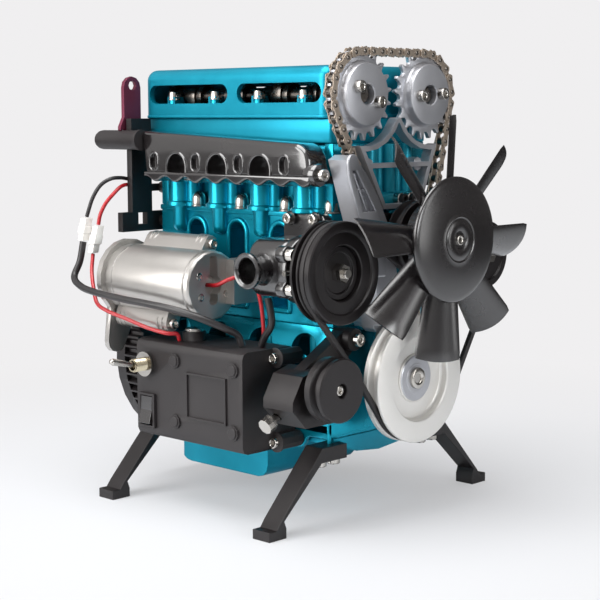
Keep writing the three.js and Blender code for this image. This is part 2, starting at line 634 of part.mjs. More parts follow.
function liftingBracket() {
  const half = (lift.right - lift.left) / 2;
  const eyeHeight = coverTop - lift.eyeDrop;
  const [neck, foot] = [carrierTop + lift.neckRise, headTop - lift.footDrop];
  const plate = alongPlate([
    [lift.left + half, foot], [lift.tab, foot], [lift.tab, neck - half], [lift.right, neck - half],
    ...arc(lift.left + half, eyeHeight + lift.topRise - half, half, 0, Math.PI),
    [lift.left, neck], [lift.flare, neck - lift.shoulder], [lift.flare, pipeHeight + pipe.radius],
    [lift.left + half, pipeHeight],
  ], cover.rear + gap, cover.rear + gap + lift.thickness);
  const through = (radius, x, z) => turnedAlong(bar(radius, cover.rear - overrun,
    cover.rear + overrun + lift.thickness), x, z);
  return cut(plate, through(lift.eye, lift.eyeX, eyeHeight), through(pipe.radius + gap, pipe.x, pipeHeight));
}
add('lifting_bracket', liftingBracket(), finishes.maroon);

// Rear bracket: a bar and a foot in one plate, held off the block's rear face by two posts

function rearBracket() {
  const b = rearBar;
  const bottom = deckHeight - b.footDrop;
  const arm = deckHeight + b.armRise;
  const upright = boxOf(b.left, b.right, b.front, b.rear, bottom, pipeHeight + b.topRise);
  const foot = boxOf(b.footLeft, b.footRight, b.front, b.rear, bottom, bottom + b.footHeight);
  const armBar = boxOf(b.left, b.footRight, b.front, b.rear, arm, arm + b.armThickness);
  const posts = [bottom + b.footHeight / 2, arm + b.armThickness / 2].map((z) => turnedAlong(
    bar(b.postRadius, rearFace, b.front + gap), b.postX, z));
  const window = boxOf(b.windowLeft, b.windowRight, b.front - overrun, b.rear + overrun,
    bottom + b.windowRise, bottom + b.footHeight - gap);
  const notch = turnedAlong(bar(pipe.radius + gap, b.front - overrun, b.rear + overrun), pipe.x, pipeHeight);
  return cut(join(upright, foot, armBar, posts), window, notch);
}
add('rear_bracket', rearBracket(), finishes.blackMetal);

// Intake manifold on the far side: a plenum on four runners, with an open throat

function intakeManifold() {
  const i = intake;
  const plenum = alongPlate(rounded(i.plenumInner, i.plenumOuter, i.bottom, i.top, i.corner),
    frontCylinder - i.runnerRadius, rearCylinder + i.runnerRadius);
  const runners = cylinders.map((y) => turnedAcross(bar(i.runnerRadius, headHalf + i.flange / 2,
    i.plenumInner + i.flange), y, i.height + i.runnerRadius / 2));
  const flange = boxOf(headHalf, headHalf + i.flange, frontCylinder - i.runnerRadius,
    rearCylinder + i.runnerRadius, head.columnTop + gap, i.top);
  const throat = turnedAlong(ring(i.throatBore, i.throatRadius, rearCylinder,
    rearCylinder + i.runnerRadius + i.throatLength), (i.plenumInner + i.plenumOuter) / 2, i.height);
  const mouth = turnedAlong(bar(i.throatBore, rearCylinder,
    rearCylinder + i.runnerRadius + i.throatLength + overrun), (i.plenumInner + i.plenumOuter) / 2, i.height);
  return cut(join(plenum, runners, flange, throat), mouth);
}
add('intake_manifold', intakeManifold(), finishes.blackMetal);

// Legs: a pad, a slanted strut and a short arm bolted under the pan rail

function legShape(side) {
  const l = leg;
  const outline = [
    [l.padOuter, 0], [l.padOuter, l.padHeight], [l.upperHeel + l.toe, l.padHeight],
    [l.upperHeel, l.heelHeight], [l.upperKnee, l.armTop], [l.armInner, l.armTop],
    [l.armInner, l.armBottom], [l.lowerKnee, l.armBottom], [l.lowerHeel, l.heelHeight],
    [l.padInner, l.padHeight], [l.padInner, 0],
  ].map(([x, z]) => [side * x, z]);
  const blade = alongPlate(side < 0 ? outline : outline.reverse(), -l.width / 2, l.width / 2);
  const heads = l.screwReach.map((x) => turnedUp(bar(l.screwRadius, l.armBottom - l.screwHeight,
    l.armBottom + gap), side * x, 0));
  return join(blade, heads);
}
[['front', leg.frontY], ['rear', leg.rearY]].forEach(([end, y]) => {
  add(`leg_${end}_left`, legShape(-1), finishes.blackMetal, [0, y, 0]);
  add(`leg_${end}_right`, legShape(1), finishes.blackMetal, [0, y, 0]);
});

// Motor: a drum with a keyhole in its front, a rear plate that hangs the reduction gear, two brackets

const meshDistance = (a, b) => (gears.module * (a + b)) / 2;

/** Where the reduction gear lies: in mesh with the flywheel rim and with the motor pinion. */
function reductionPlace() {
  const toCrank = meshDistance(gears.flywheelTeeth, gears.reductionTeeth);
  const toMotor = meshDistance(gears.reductionTeeth, gears.pinionTeeth);
  const across = motor.x;
  const up = motor.height - crankHeight;
  const apart = Math.hypot(across, up);
  const along = (toCrank ** 2 - toMotor ** 2 + apart ** 2) / (2 * apart);
  const off = Math.sqrt(toCrank ** 2 - along ** 2);
  return { x: (along * across - off * up) / apart, z: crankHeight + (along * up + off * across) / apart };
}
const reduction = reductionPlace();

function motorHousing() {
  const m = motor;
  const drum = turnedAlong([
    [0, m.front], [m.radius - m.bevel, m.front], [m.radius, m.front + m.bevel], [m.radius, m.rear],
    [0, m.rear],
  ], m.x, m.height);
  const lug = (l) => alongPlate(strap(m.x, m.height, l.radius, l.x, l.height, l.radius), l.front, l.rear);
  const plate = join(
    alongPlate(circle(m.x, m.height, m.plateRadius), m.rear, m.plateRear),
    alongPlate(strap(m.x, m.height, 2 * m.footRadius, m.footX, m.footHeight, m.footRadius), m.rear,
      m.plateRear),
    alongPlate(circle(reduction.x, reduction.z, m.footRadius), m.rear, m.plateRear),
    boxOf(m.x, -blockHalf, m.rear, m.plateRear, m.armBottom, m.armTop));
  const foreFoot = boxOf(m.x + m.radius / 2, -blockHalf, m.front - m.footRadius, m.front + wall,
    m.slotBottom, m.armTop);
  const keyhole = join(
    alongPlate(rounded(m.x - m.slotHalf, m.x + m.slotHalf, m.slotBottom, m.slotTop, m.slotHalf - gap),
      m.front - 2 * m.footRadius, m.front + m.recess),
    alongPlate(circle(m.x, m.height, m.eyeRadius), m.front - 2 * m.footRadius, m.front + m.recess));
  const shaftHole = turnedAlong(bar(m.shaftRadius + gap, m.plateRear - 2 * m.eyeRadius,
    m.plateRear + overrun), m.x, m.height);
  const spindleHole = turnedAlong(bar(gears.spindleRadius + gap, m.rear + gap, m.plateRear + overrun),
    reduction.x, reduction.z);
  return cut(join(drum, lug(m.upperLug), lug(m.lowerLug), plate, foreFoot), keyhole, shaftHole, spindleHole);
}
add('motor_housing', motorHousing(), finishes.silver);

// Gears: teeth with straight flanks, drawn about the gear's own axis

function gearOutline(teeth, phase) {
  const pitch = (gears.module * teeth) / 2;
  const tip = pitch + gears.addendumShare * gears.module;
  const root = pitch - gears.dedendumShare * gears.module;
  const step = wholeTurn / teeth;
  const tipHalf = (gears.tipShare * step) / 2;
  const rootHalf = step / 2 - (gears.rootShare * step) / 2;
  const corners = [[root, -rootHalf], [tip, -tipHalf], [tip, tipHalf], [root, rootHalf]];
  return Array.from({ length: teeth }, (_, i) => corners.map(([radius, angle]) => {
    const turn = phase + i * step + angle;
    return [radius * Math.cos(turn), radius * Math.sin(turn)];
  })).flat();
}

/** The phase that puts a gear in mesh with its partner, which sees it at the angle way. */
function meshedPhase(partnerTeeth, partnerPhase, way, teeth) {
  const toothShare = ((way - partnerPhase) * partnerTeeth) / wholeTurn;
  return way + Math.PI - ((1 / 2 - toothShare) * wholeTurn) / teeth;
}

const wayToReduction = Math.atan2(reduction.z - crankHeight, reduction.x);
const wayToPinion = Math.atan2(motor.height - reduction.z, motor.x - reduction.x);
const reductionPhase = meshedPhase(gears.flywheelTeeth, 0, wayToReduction, gears.reductionTeeth);
const pinionPhase = meshedPhase(gears.reductionTeeth, reductionPhase, wayToPinion, gears.pinionTeeth);

function flywheelShape() {
  const g = gears;
  const rootRadius = (g.module * g.flywheelTeeth) / 2 - g.dedendumShare * g.module;
  const rim = rootRadius - g.rimWidth;
  const dish = (from, to) => turnedAlong(ring(g.hubRadius, rim, from, to));
  const tip = (g.module * g.flywheelTeeth) / 2 + g.addendumShare * g.module;
  return cut(join(alongPlate(gearOutline(g.flywheelTeeth, 0), g.front, g.toothRear + gap),
    turnedAlong(bar(tip, g.toothRear, g.rear))),
    dish(g.rear - g.webInset, g.rear + overrun),
    turnedAlong(bar(crank.journalRadius + gap, g.front - overrun, g.rear + overrun)));
}
add('flywheel', flywheelShape(), finishes.blackMetal, [0, 0, crankHeight]);

add('reduction_gear', join(alongPlate(gearOutline(gears.reductionTeeth, reductionPhase), gears.front,
  gears.smallRear),
  turnedAlong(bar(gears.spindleRadius, motor.rear + 2 * gap, gears.front + gap))),
finishes.steel, [reduction.x, 0, reduction.z]);
add('motor_pinion', join(alongPlate(gearOutline(gears.pinionTeeth, pinionPhase), gears.front,
  gears.smallRear),
  turnedAlong(bar(motor.shaftRadius, motor.plateRear - 2 * motor.eyeRadius + gap, gears.front + gap))),
finishes.steel, [motor.x, 0, motor.height]);

// Battery box with its controls

function batteryBox() {
  const b = box;
  const face = b.outer;
  const shell = alongPlate(rounded(b.outer, b.inner, b.bottom, b.top, b.edge), b.front, b.rear);
  const bosses = [b.bossFront, b.bossRear].flatMap((y) => [b.bossLow, b.bossHigh].map((z) =>
    turnedAcross(bar(b.bossRadius, face - b.bossRise, face + wall), y, z)));
  const frame = acrossPlate(rectangle(b.frameFront, b.frameRear, b.frameBottom, b.frameTop),
    face - b.frameRise, face + wall);
  const frameHollow = acrossPlate(rectangle(b.frameFront + b.frameRise, b.frameRear - b.frameRise,
    b.frameBottom + b.frameRise, b.frameTop - b.frameRise), face - overrun, face);
  const lugs = [b.upperLug, b.lowerLug].map((l) =>
    turnedAcross(bar(b.lugRadius, b.lugOuter, b.inner), l.y, l.height));
  const collar = turnedUp(ring(button.capRadius + gap, button.collarRadius, b.top - wall / 2,
    button.collarTop), button.x, button.y);
  const hollow = boxOf(b.outer + wall, b.inner + overrun, b.front + wall, b.rear - wall, b.bottom + wall,
    b.top - wall);
  const rockerHole = acrossPlate(rectangle(rocker.y - rocker.wide / 2 - gap, rocker.y + rocker.wide / 2 + gap,
    rocker.height - rocker.tall / 2 - 2 * gap, rocker.height + rocker.tall / 2 + 2 * gap),
  face - overrun, face + wall + overrun);
  const stemHole = turnedUp(bar(button.stemRadius + gap, b.top - wall - overrun, b.top + overrun),
    button.x, button.y);
  return cut(join(shell, bosses, cut(frame, frameHollow), lugs, collar), hollow, rockerHole, stemHole);
}
add('battery_box', batteryBox(), finishes.blackPlastic);

function toggleBushing() {
  const t = toggle;
  const barrel = turnedAcross([
    [0, box.outer], [t.bushRadius, box.outer], [t.bushRadius, t.bushTip], [t.boreRadius, t.bushTip],
    [t.boreRadius, t.bushTip + t.boreDepth], [0, t.bushTip + t.boreDepth],
  ], t.y, t.height);
  const bore = turnedAcross(bar(t.boreRadius, t.bushTip - overrun, t.bushTip + t.boreDepth), t.y, t.height);
  const nut = acrossPlate(hexagon(t.y, t.height, t.nutAcross), box.outer - t.nutThickness, box.outer);
  return cut(join(barrel, nut), bore);
}
add('toggle_bushing', toggleBushing(), finishes.steel);

function toggleLever() {
  const t = toggle;
  const reach = t.tip - t.pivot;
  const ballSlant = t.ballRadius * domeShare;
  const tipSlant = t.tipRadius * domeShare;
  return turnedAcross([
    [0, t.ballRadius], [ballSlant, ballSlant], [t.ballRadius, 0],
    [ballSlant, -ballSlant], [t.stemRadius, -t.ballRadius],
    [t.tipRadius, reach + t.tipRadius], [tipSlant, reach + t.tipRadius - tipSlant], [0, reach],
  ]);
}
add('toggle_lever', toggleLever(), finishes.steel, [toggle.pivot, toggle.y, toggle.height],
  [0, degrees(toggle.tilt), 0]);

function rockerFrame() {
  const r = rocker;
  const plate = (wide, tall, from, to) => acrossPlate(rectangle(r.y - wide / 2, r.y + wide / 2,
    r.height - tall / 2, r.height + tall / 2), from, to);
  return cut(plate(r.frameWide, r.frameTall, box.outer - r.framePlate, box.outer),
    plate(r.wide + 2 * gap, r.tall + 4 * gap, box.outer - r.framePlate - overrun, box.outer + overrun));
}
add('rocker_frame', rockerFrame(), finishes.blackPlastic);

function rockerSwitch() {
  const r = rocker;
  return alongPlate([
    [-r.proud, 0], [-r.proud - 2 * gap, -r.tall / 2], [0, -r.tall / 2], [r.depth, -r.tall / 4],
    [r.depth, r.tall / 4], [0, r.tall / 2], [-r.proud - 2 * gap, r.tall / 2],
  ], -r.wide / 2, r.wide / 2);
}
add('rocker_switch', rockerSwitch(), finishes.blackGloss, [box.outer, rocker.y, rocker.height],
  [0, degrees(rocker.tilt), 0]);

const buttonTravel = button.capTop - button.collarTop + gap / 2;

function pushButton() {
  const capBottom = box.top + buttonTravel + gap;
  return turnedUp([
    [0, button.stemBottom], [button.stemRadius, button.stemBottom], [button.stemRadius, capBottom],
    [button.capRadius, capBottom], [button.capRadius, button.capTop - gap],
    [button.capRadius - 2 * gap, button.capTop], [0, button.capTop],
  ]);
}
add('push_button', pushButton(), finishes.steel, [button.x, button.y, 0]);

// Belt idler: an angular bracket on the block's front corner, its pin, and the tension screw below it

const tensionEnds = [[tension.headX, tension.y, tension.headHeight], [tension.tipX, tension.y,
  tension.tipHeight]]
  .map((point) => new THREE.Vector3(...point));
const tensionWay = tensionEnds[1].clone().sub(tensionEnds[0]).normalize();
const tensionLength = tensionEnds[0].distanceTo(tensionEnds[1]);
const pointOnScrew = (distance) => tensionEnds[0].clone().addScaledVector(tensionWay, distance).toArray();

function tensionScrew() {
  return join(rod(tensionEnds[0].toArray(), pointOnScrew(tension.headLength), tension.headRadius),
    rod(pointOnScrew(tension.headLength / 2), tensionEnds[1].toArray(), tension.screwRadius));
}
add('tension_screw', tensionScrew(), finishes.steel);

function idlerBracket() {
  const b = bracket;
  const arm = alongPlate(strap(b.armX, b.armHeight, b.armRadius, idler.x, idler.height, b.bossRadius),
    b.rear - b.plate, b.rear);
  const block = alongPlate([
    [b.bodyLeft + b.chin, b.bodyLow], [-blockHalf - b.plate, b.bodyLow],
    [-blockHalf - b.plate, b.bodyHigh], [idler.x, idler.height + b.bossRadius],
    [b.bodyLeft + b.plate, b.crown], [b.bodyLeft, b.cheek], [b.bodyLeft, b.jaw],
  ], b.front, b.bodyRear);
  const boss = turnedAlong([
    [0, b.rear - b.plate / 2], [b.bossRadius, b.rear - b.plate / 2], [b.bossRadius, b.bossFront],
    [idler.pinRadius, b.bossFront], [idler.pinRadius, idler.front + idler.recessDepth + 2 * gap],
    [0, idler.front + idler.recessDepth + 2 * gap],
  ], idler.x, idler.height);
  const screwHead = turnedAlong(bar(bracket.screwRadius, b.rear - b.plate - idler.recessDepth,
    b.rear - b.plate / 2),
    b.armX, b.armHeight);
  const screwHole = rod(pointOnScrew(tension.headLength), pointOnScrew(tensionLength + gap),
    tension.screwRadius + gap);
  const headRoom = rod(pointOnScrew(-overrun), pointOnScrew(tension.headLength + gap),
    tension.headRadius + gap);
  return cut(join(arm, block, boss, screwHead), screwHole, headRoom);
}
add('idler_bracket', idlerBracket(), finishes.blackMetal);

// Pulleys: turned about their own axes, each with a groove in the belt's plane

const grooveOf = (pulley) => [
  [pulley.radius, beltPlane - grooveHalf], [pulley.groove, beltPlane - grooveHalf],
  [pulley.groove, beltPlane + grooveHalf], [pulley.radius, beltPlane + grooveHalf],
];

function idlerPulley() {
  return turnedAlong([
    [0, idler.front + idler.recessDepth], [idler.recess, idler.front + idler.recessDepth],
    [idler.recess, idler.front], [idler.radius, idler.front], ...grooveOf(idler), [idler.radius, idler.rear],
    [idler.pinRadius + gap, idler.rear], [idler.pinRadius + gap, idler.front + idler.recessDepth + gap],
    [0, idler.front + idler.recessDepth + gap],
  ]);
}
add('idler_pulley', idlerPulley(), finishes.blackPlastic, [idler.x, 0, idler.height]);

function crankPulleyShape() {
  const p = crankPulley;
  const bore = crank.noseRadius + gap;
  return turnedAlong([
    [0, p.front + p.bossDepth], [p.bossRadius, p.front + p.bossDepth], [p.bossRadius, p.front + p.dishDepth],
    [p.dish, p.front + p.dishDepth], [p.dish, p.front], [p.radius, p.front], ...grooveOf(p),
    [p.radius, p.rear], [bore, p.rear], [bore, crank.noseEnd - gap], [0, crank.noseEnd - gap],
  ]);
}
add('crank_pulley', crankPulleyShape(), finishes.silver, [0, 0, crankHeight]);

function pumpPulleyShape() {
  const p = pumpPulley;
  const rear = beltPlane + grooveHalf + p.midRim;
  return join(turnedAlong([
    [0, p.front + p.wellDepth], [p.boss, p.front + p.wellDepth], [p.well, p.front + p.wellDepth],
    [p.well, p.front + p.ringDepth], [p.ring, p.front + p.ringDepth], [p.ring, p.front],
    [p.radius, p.front], ...grooveOf(p), [p.radius, rear], [p.groove, rear],
    [p.groove, p.rear - grooveHalf], [p.radius, p.rear - grooveHalf], [p.radius, p.rear],
    [p.shaftRadius, p.rear], [p.shaftRadius, pump.front + pump.flangeThickness], [0, pump.front
      + pump.flangeThickness],
  ]), alongPlate(hexagon(0, 0, p.nutAcross), p.nutTop, p.front + p.wellDepth + gap));
}
add('pump_pulley', pumpPulleyShape(), finishes.blackMetal, [pumpPulley.x, 0, pumpPulley.height]);

// Pump: a boxy housing with a round front flange, four screws, an inlet stub and a plate under the head

function pumpHousing() {
  const p = pump;
  const { x, height } = pumpPulley;
  const body = alongPlate(rounded(p.left, p.right + gap, p.bottom, p.top, p.corner), p.front, p.rear);
  const flange = alongPlate(circle(x, height, p.flangeRadius), p.front - p.flangeThickness, p.front + wall);
  const nose = turnedAlong(bar(p.noseRadius, p.noseFront, p.front), x, height);
  const heads = p.screwAngles.map(degrees).map((angle) => {
    return turnedAlong(bar(p.screwRadius, p.front - p.flangeThickness - p.screwHead, p.front),
      x + p.screwReach * Math.cos(angle), height + p.screwReach * Math.sin(angle));
  });
  const inlet = turnedAcross([
    [0, p.left + p.corner], [p.inletRadius, p.left + p.corner], [p.inletRadius, p.inletTip + p.lip],
    [p.lipRadius, p.inletTip + p.lip], [p.lipRadius, p.inletTip], [0, p.inletTip],
  ], p.inletY, height);
  const plate = boxOf(p.topLeft, -blockHalf - gap, p.topFront, p.topRear, p.top - p.corner, deckHeight - gap);
  const columnHole = turnedUp(bar(block.bossRadius + gap, splitHeight, deckHeight + overrun),
    -blockHalf, frontCylinder);
  const inletBore = turnedAcross(bar(p.inletBore, p.inletTip - overrun, x), p.inletY, height);
  const shaftBore = turnedAlong(bar(pumpPulley.shaftRadius + gap, p.noseFront - overrun,
    p.front + p.flangeThickness + gap), x, height);
  return cut(join(body, flange, nose, heads, inlet, plate), columnHole, inletBore, shaftBore);
}
add('pump_housing', pumpHousing(), finishes.blackMetal);

// Fan with its shaft, pulley and bracket

function fanBlade(angle) {
  const count = fan.bladeFacets;
  const radii = [fan.rootRadius, fan.domeRadius, fan.tipRadius];
  const out = [Math.cos(angle), Math.sin(angle)];
  const lean = degrees(fan.pitch);
  const points = radii.flatMap((radius) => {
    const share = (radius - fan.rootRadius) / (fan.tipRadius - fan.rootRadius);
    const chord = fan.rootChord + (fan.tipChord - fan.rootChord) * share;
    const place = (u, side) => {
      const arched = fan.camber * (1 - 4 * u * u) + (side * fan.bladeThickness) / 2;
      const tangent = u * chord * Math.cos(lean) - arched * Math.sin(lean);
      const axial = u * chord * Math.sin(lean) + arched * Math.cos(lean);
      const reach = radius + fan.tipBulge * share * (1 - 4 * u * u);
      return [reach * out[0] - tangent * out[1], fan.bladeMiddle + axial, reach * out[1]
        + tangent * out[0]];
    };
    const steps = Array.from({ length: count + 1 }, (_, i) => i / count - 0.5);
    return [...steps.map((u) => place(u, -1)), ...steps.reverse().map((u) => place(u, 1))];
  });
  const ringSize = 2 * (count + 1);
  const faces = [];
  for (let r = 0; r < radii.length - 1; r += 1) {
    for (let i = 0; i < ringSize; i += 1) {
      const [a, b] = [r * ringSize + i, r * ringSize + ((i + 1) % ringSize)];
      faces.push(a, b, b + ringSize, a, b + ringSize, a + ringSize);
    }
  }
  [0, (radii.length - 1) * ringSize].forEach((start, end) => {
    for (let i = 0; i < count; i += 1) {
      const [a, b, c, d] = [i, i + 1, ringSize - 2 - i, ringSize - 1 - i].map((k) => start + k);
      faces.push(...(end ? [a, b, c, a, c, d] : [a, c, b, a, d, c]));
    }
  });
  const geometry = new THREE.BufferGeometry();
  geometry.setAttribute('position', new THREE.Float32BufferAttribute(points.flat(), 3));
  geometry.setIndex(faces);
  return solid(geometry);
}

function fanShape() {
  const f = fan;
  const hub = turnedAlong([
    [0, f.domeTop], [f.domeRadius / 3, f.domeTop + f.rimThickness / 4],
    [f.domeRadius * domeShare, f.domeTop + f.rimThickness], [f.domeRadius, f.domeRim],
    [f.domeRadius, f.domeRim + f.rimThickness], [f.drumRadius, f.domeRim + 2 * f.rimThickness],
    [f.drumRadius, f.drumRear], [f.shaftRadius + gap, f.drumRear], [f.shaftRadius + gap, f.bladeMiddle],
    [0, f.bladeMiddle],
  ]);
  const blades = Array.from({ length: f.bladeCount }, (_, i) =>
    fanBlade(degrees(f.firstBlade) + (wholeTurn * i) / f.bladeCount));
  return join(hub, blades);
}
add('fan', fanShape(), finishes.blackPlastic, [0, 0, fan.height]);

function fanPulleyShape() {
  const p = fanPulley;
  return turnedAlong([
    [0, fan.bladeMiddle + gap], [fan.shaftRadius, fan.bladeMiddle + gap], [fan.shaftRadius, p.front],
    [p.radius, p.front], ...grooveOf(p), [p.radius, p.rear], [fan.shaftRadius, p.rear],
    [fan.shaftRadius, fan.seatFront], [0, fan.seatFront],
  ]);
}
add('fan_pulley', fanPulleyShape(), finishes.blackMetal, [0, 0, fan.height]);

function fanBracket() {
  const f = fan;
  const seat = alongPlate(rounded(-f.seatHalf, f.seatHalf, f.seatBottom, f.seatTop, f.shaftRadius),
    f.seatFront, frontFace);
  const neck = turnedAlong([
    [0, f.seatFront + gap], [f.neckRadius, f.seatFront + gap], [f.neckRadius, guide.front + gap],
    [f.bossRadius, guide.front + gap], [f.bossRadius, f.bossFront], [0, f.bossFront],
  ], 0, f.height);
  return cut(join(seat, neck), turnedAlong(bar(f.shaftRadius + gap, f.bossFront - overrun,
    f.seatFront + gap), 0, f.height));
}
add('fan_bracket', fanBracket(), finishes.blackMetal);

// Alternator on the far side

function alternatorBody() {
  const a = alternator;
  const drum = turnedAlong([
    [0, a.front], [a.snout, a.front], [a.radius - wall, a.front + wall / 2], [a.radius, a.front + wall],
    [a.radius, a.rear - wall], [a.radius - wall, a.rear], [0, a.rear],
  ], a.x, a.height);
  const arm = boxOf(blockHalf, a.x, a.rear - 4 * a.armHalf, a.rear - 2 * a.armHalf, a.height - a.armHalf,
    a.height + a.armHalf);
  const bore = turnedAlong(bar(a.shaftRadius + gap, a.front - overrun, a.front + a.snout), a.x, a.height);
  return cut(join(drum, arm), bore);
}
add('alternator', alternatorBody(), finishes.blackMetal);

function alternatorPulleyShape() {
  const a = alternator;
  const grooved = { radius: a.pulleyRadius, groove: a.groove };
  return turnedAlong([
    [0, a.pulleyFront], [a.pulleyRadius, a.pulleyFront], ...grooveOf(grooved), [a.pulleyRadius, a.pulleyRear],
    [a.shaftRadius, a.pulleyRear], [a.shaftRadius, a.front + a.snout - gap], [0, a.front + a.snout - gap],
  ]);
}
add('alternator_pulley', alternatorPulleyShape(), finishes.blackMetal, [alternator.x, 0, alternator.height]);

// Crankshaft, pistons and rods. Cylinders one and four are at the top, two and three at the bottom

const atTop = cylinders.map((_, i) => i === 0 || i === cylinderCount - 1);

function sprocketTeeth(teeth, phase, plane) {
  const s = sprocket;
  const pitch = pitchRadius(teeth);
  const step = wholeTurn / teeth;
  const corners = [[pitch - s.rootDrop, -s.rootShare * step], [pitch + s.tipRise, -s.tipShare * step / 2],
    [pitch + s.tipRise, s.tipShare * step / 2], [pitch - s.rootDrop, s.rootShare * step]];
  const outline = Array.from({ length: teeth }, (_, i) => corners.map(([radius, angle]) => {
    const turn = phase + (i + 0.5) * step + angle;
    return [radius * Math.cos(turn), radius * Math.sin(turn)];
  })).flat();
  return alongPlate(outline, plane - s.toothWidth / 2, plane + s.toothWidth / 2);
}

function crankshaftShape(sprocketPhase) {
  const c = crank;
  const webReach = c.pinHalf + c.webThickness;
  const pieces = cylinders.map((y, i) => {
    const up = atTop[i] ? 1 : -1;
    const web = [
      [c.counterRadius, -c.counterDrop], [c.webRadius, throwRadius], [c.webRadius / 2, throwRadius
        + c.webRadius],
      [-c.webRadius / 2, throwRadius + c.webRadius], [-c.webRadius, throwRadius], [-c.counterRadius,
        -c.counterDrop],
      [-c.counterRadius / 2, -c.counterRadius - c.counterDrop], [c.counterRadius / 2,
        -c.counterRadius - c.counterDrop],
    ].map(([x, z]) => [up * x, up * z]);
    return join(alongPlate(web, y - webReach, y - c.pinHalf), alongPlate(web, y + c.pinHalf, y + webReach),
      turnedAlong(bar(c.pinRadius, y - c.pinHalf - gap, y + c.pinHalf + gap), 0, up * throwRadius));
  });
  const ends = [c.noseEnd, ...cylinders.flatMap((y) => [y - webReach + gap, y + webReach - gap]),
    gears.rear - c.noseRadius / 2];
  const journals = [];
  for (let i = 0; i < ends.length; i += 2) {
    journals.push(turnedAlong(bar(c.journalRadius, ends[i], ends[i + 1])));
  }
  const hub = turnedAlong(bar(c.sprocketHub, sprocket.discFront + overrun / 2, sprocket.discRear));
  return join(journals[0], journals.slice(1), pieces, hub,
    sprocketTeeth(chain.crankTeeth, sprocketPhase, chain.plane));
}

const crankSweep = Math.hypot(throwRadius + crank.webRadius, crank.webRadius / 2);
const rodReach = piston.rodLength - throwRadius - crankSweep - crank.spinGap;

function pistonShape() {
  const p = piston;
  const inner = pistonRadius * p.wallShare;
  const cup = turnedUp([
    [0, p.crown - wall], [inner, p.crown - wall], [inner, -p.skirt], [pistonRadius, -p.skirt],
    [pistonRadius, p.crown], [0, p.crown],
  ]);
  return join(cup, turnedAlong(bar(p.pinRadius, -inner - gap, inner + gap)));
}

function rodShape() {
  const p = piston;
  const eye = p.pinRadius + gap;
  const outer = eye + wall / 2;
  const foot = crank.pinRadius - 2 * gap;
  const blade = alongPlate([
    [-outer, 0], [-eye / 2 - gap, -outer], [-eye / 2 - gap, foot - rodReach + gap], [-foot, foot - rodReach],
    [-foot, -rodReach], [-eye, -rodReach], [0, eye / 2 - rodReach], [eye, -rodReach], [foot, -rodReach],
    [foot, foot - rodReach], [eye / 2 + gap, foot - rodReach + gap], [eye / 2 + gap, -outer], [outer, 0],
    ...arc(0, 0, outer, 0, Math.PI).slice(1, -1),
  ], -p.pinRadius, p.pinRadius);
  return cut(blade, turnedAlong(bar(eye, -overrun, overrun)));
}

cylinders.forEach((y, i) => {
  const wrist = crankHeight + (atTop[i] ? throwRadius : -throwRadius) + piston.rodLength;
  add(`piston_${i + 1}`, pistonShape(), finishes.silver, [0, y, wrist]);
  add(`rod_${i + 1}`, rodShape(), finishes.steel, [0, y, wrist]);
});

// Loops of belt and chain: straight runs between wheels, each wheel wrapped left (1) or right (-1)

function loopPath(wheels) {
  const lines = wheels.map((a, i) => {
    const b = wheels[(i + 1) % wheels.length];
    const [dx, dz] = [b.x - a.x, b.z - a.z];
    const shift = a.turn * a.radius - b.turn * b.radius;
    const length = Math.sqrt(dx * dx + dz * dz - shift * shift);
    return { length, angle: Math.atan2(dz, dx) + Math.atan2(shift, length) };
  });
  const segments = [];
  wheels.forEach((wheel, i) => {
    const before = lines[(i + wheels.length - 1) % wheels.length].angle;
    const line = lines[i];
    const sweep = ((((line.angle - before) * wheel.turn) % wholeTurn) + wholeTurn) % wholeTurn;
    segments.push({ wheel, from: before, sweep, length: sweep * wheel.radius });
    segments.push({ wheel, line, from: line.angle, length: line.length });
  });
  return { segments, length: segments.reduce((sum, segment) => sum + segment.length, 0) };
}

/** The place and heading of the point that lies a distance into a segment. */
function placeOn(segment, distance) {
  const { wheel, line } = segment;
  const heading = line ? segment.from : segment.from + (wheel.turn * distance) / wheel.radius;
  const reach = wheel.turn * wheel.radius;
  const x = wheel.x + reach * Math.sin(heading) + (line ? distance * Math.cos(heading) : 0);
  const z = wheel.z - reach * Math.cos(heading) + (line ? distance * Math.sin(heading) : 0);
  return { x, z, heading };
}

/** A flat band about a closed row of places, from y0 to y1, its half width given for each place. */
function band(places, halfWidth, y0, y1, innerEvery = 1) {
  const edge = (side) => places.map(({ x, z, heading }, i) =>
    [x + side * halfWidth(i) * Math.sin(heading), z - side * halfWidth(i) * Math.cos(heading)]);
  const inner = edge(-1).filter((_, i) => i % innerEvery === 0);
  return cut(alongPlate(edge(1), y0, y1), alongPlate(inner, y0 - overrun, y1 + overrun));
}

const beltSeat = beltThickness / 2 + gap;
const beltWheels = [
  { x: 0, z: crankHeight, radius: crankPulley.groove + beltSeat, turn: 1 },
  { x: alternator.x, z: alternator.height, radius: alternator.groove + beltSeat, turn: 1 },
  { x: 0, z: fan.height, radius: fanPulley.groove + beltSeat, turn: -1 },
  { x: pumpPulley.x, z: pumpPulley.height, radius: pumpPulley.groove + beltSeat, turn: 1 },
  { x: idler.x, z: idler.height, radius: idler.groove + beltSeat, turn: -1 },
];

function driveBelt() {
  const places = loopPath(beltWheels).segments.filter((segment) => !segment.line).flatMap((segment) => {
    const step = 2 * Math.acos(1 - facetSag / 2 / segment.wheel.radius);
    const count = Math.max(2, Math.ceil(segment.sweep / step));
    return Array.from({ length: count + 1 }, (_, i) => placeOn(segment, (segment.length * i) / count));
  });
  return band(places, () => beltThickness / 2, beltPlane - beltWidth / 2, beltPlane + beltWidth / 2);
}
add('drive_belt', driveBelt(), finishes.rubber);

// Timing chain: its pushed-in run is set so that the loop is a whole, even number of links

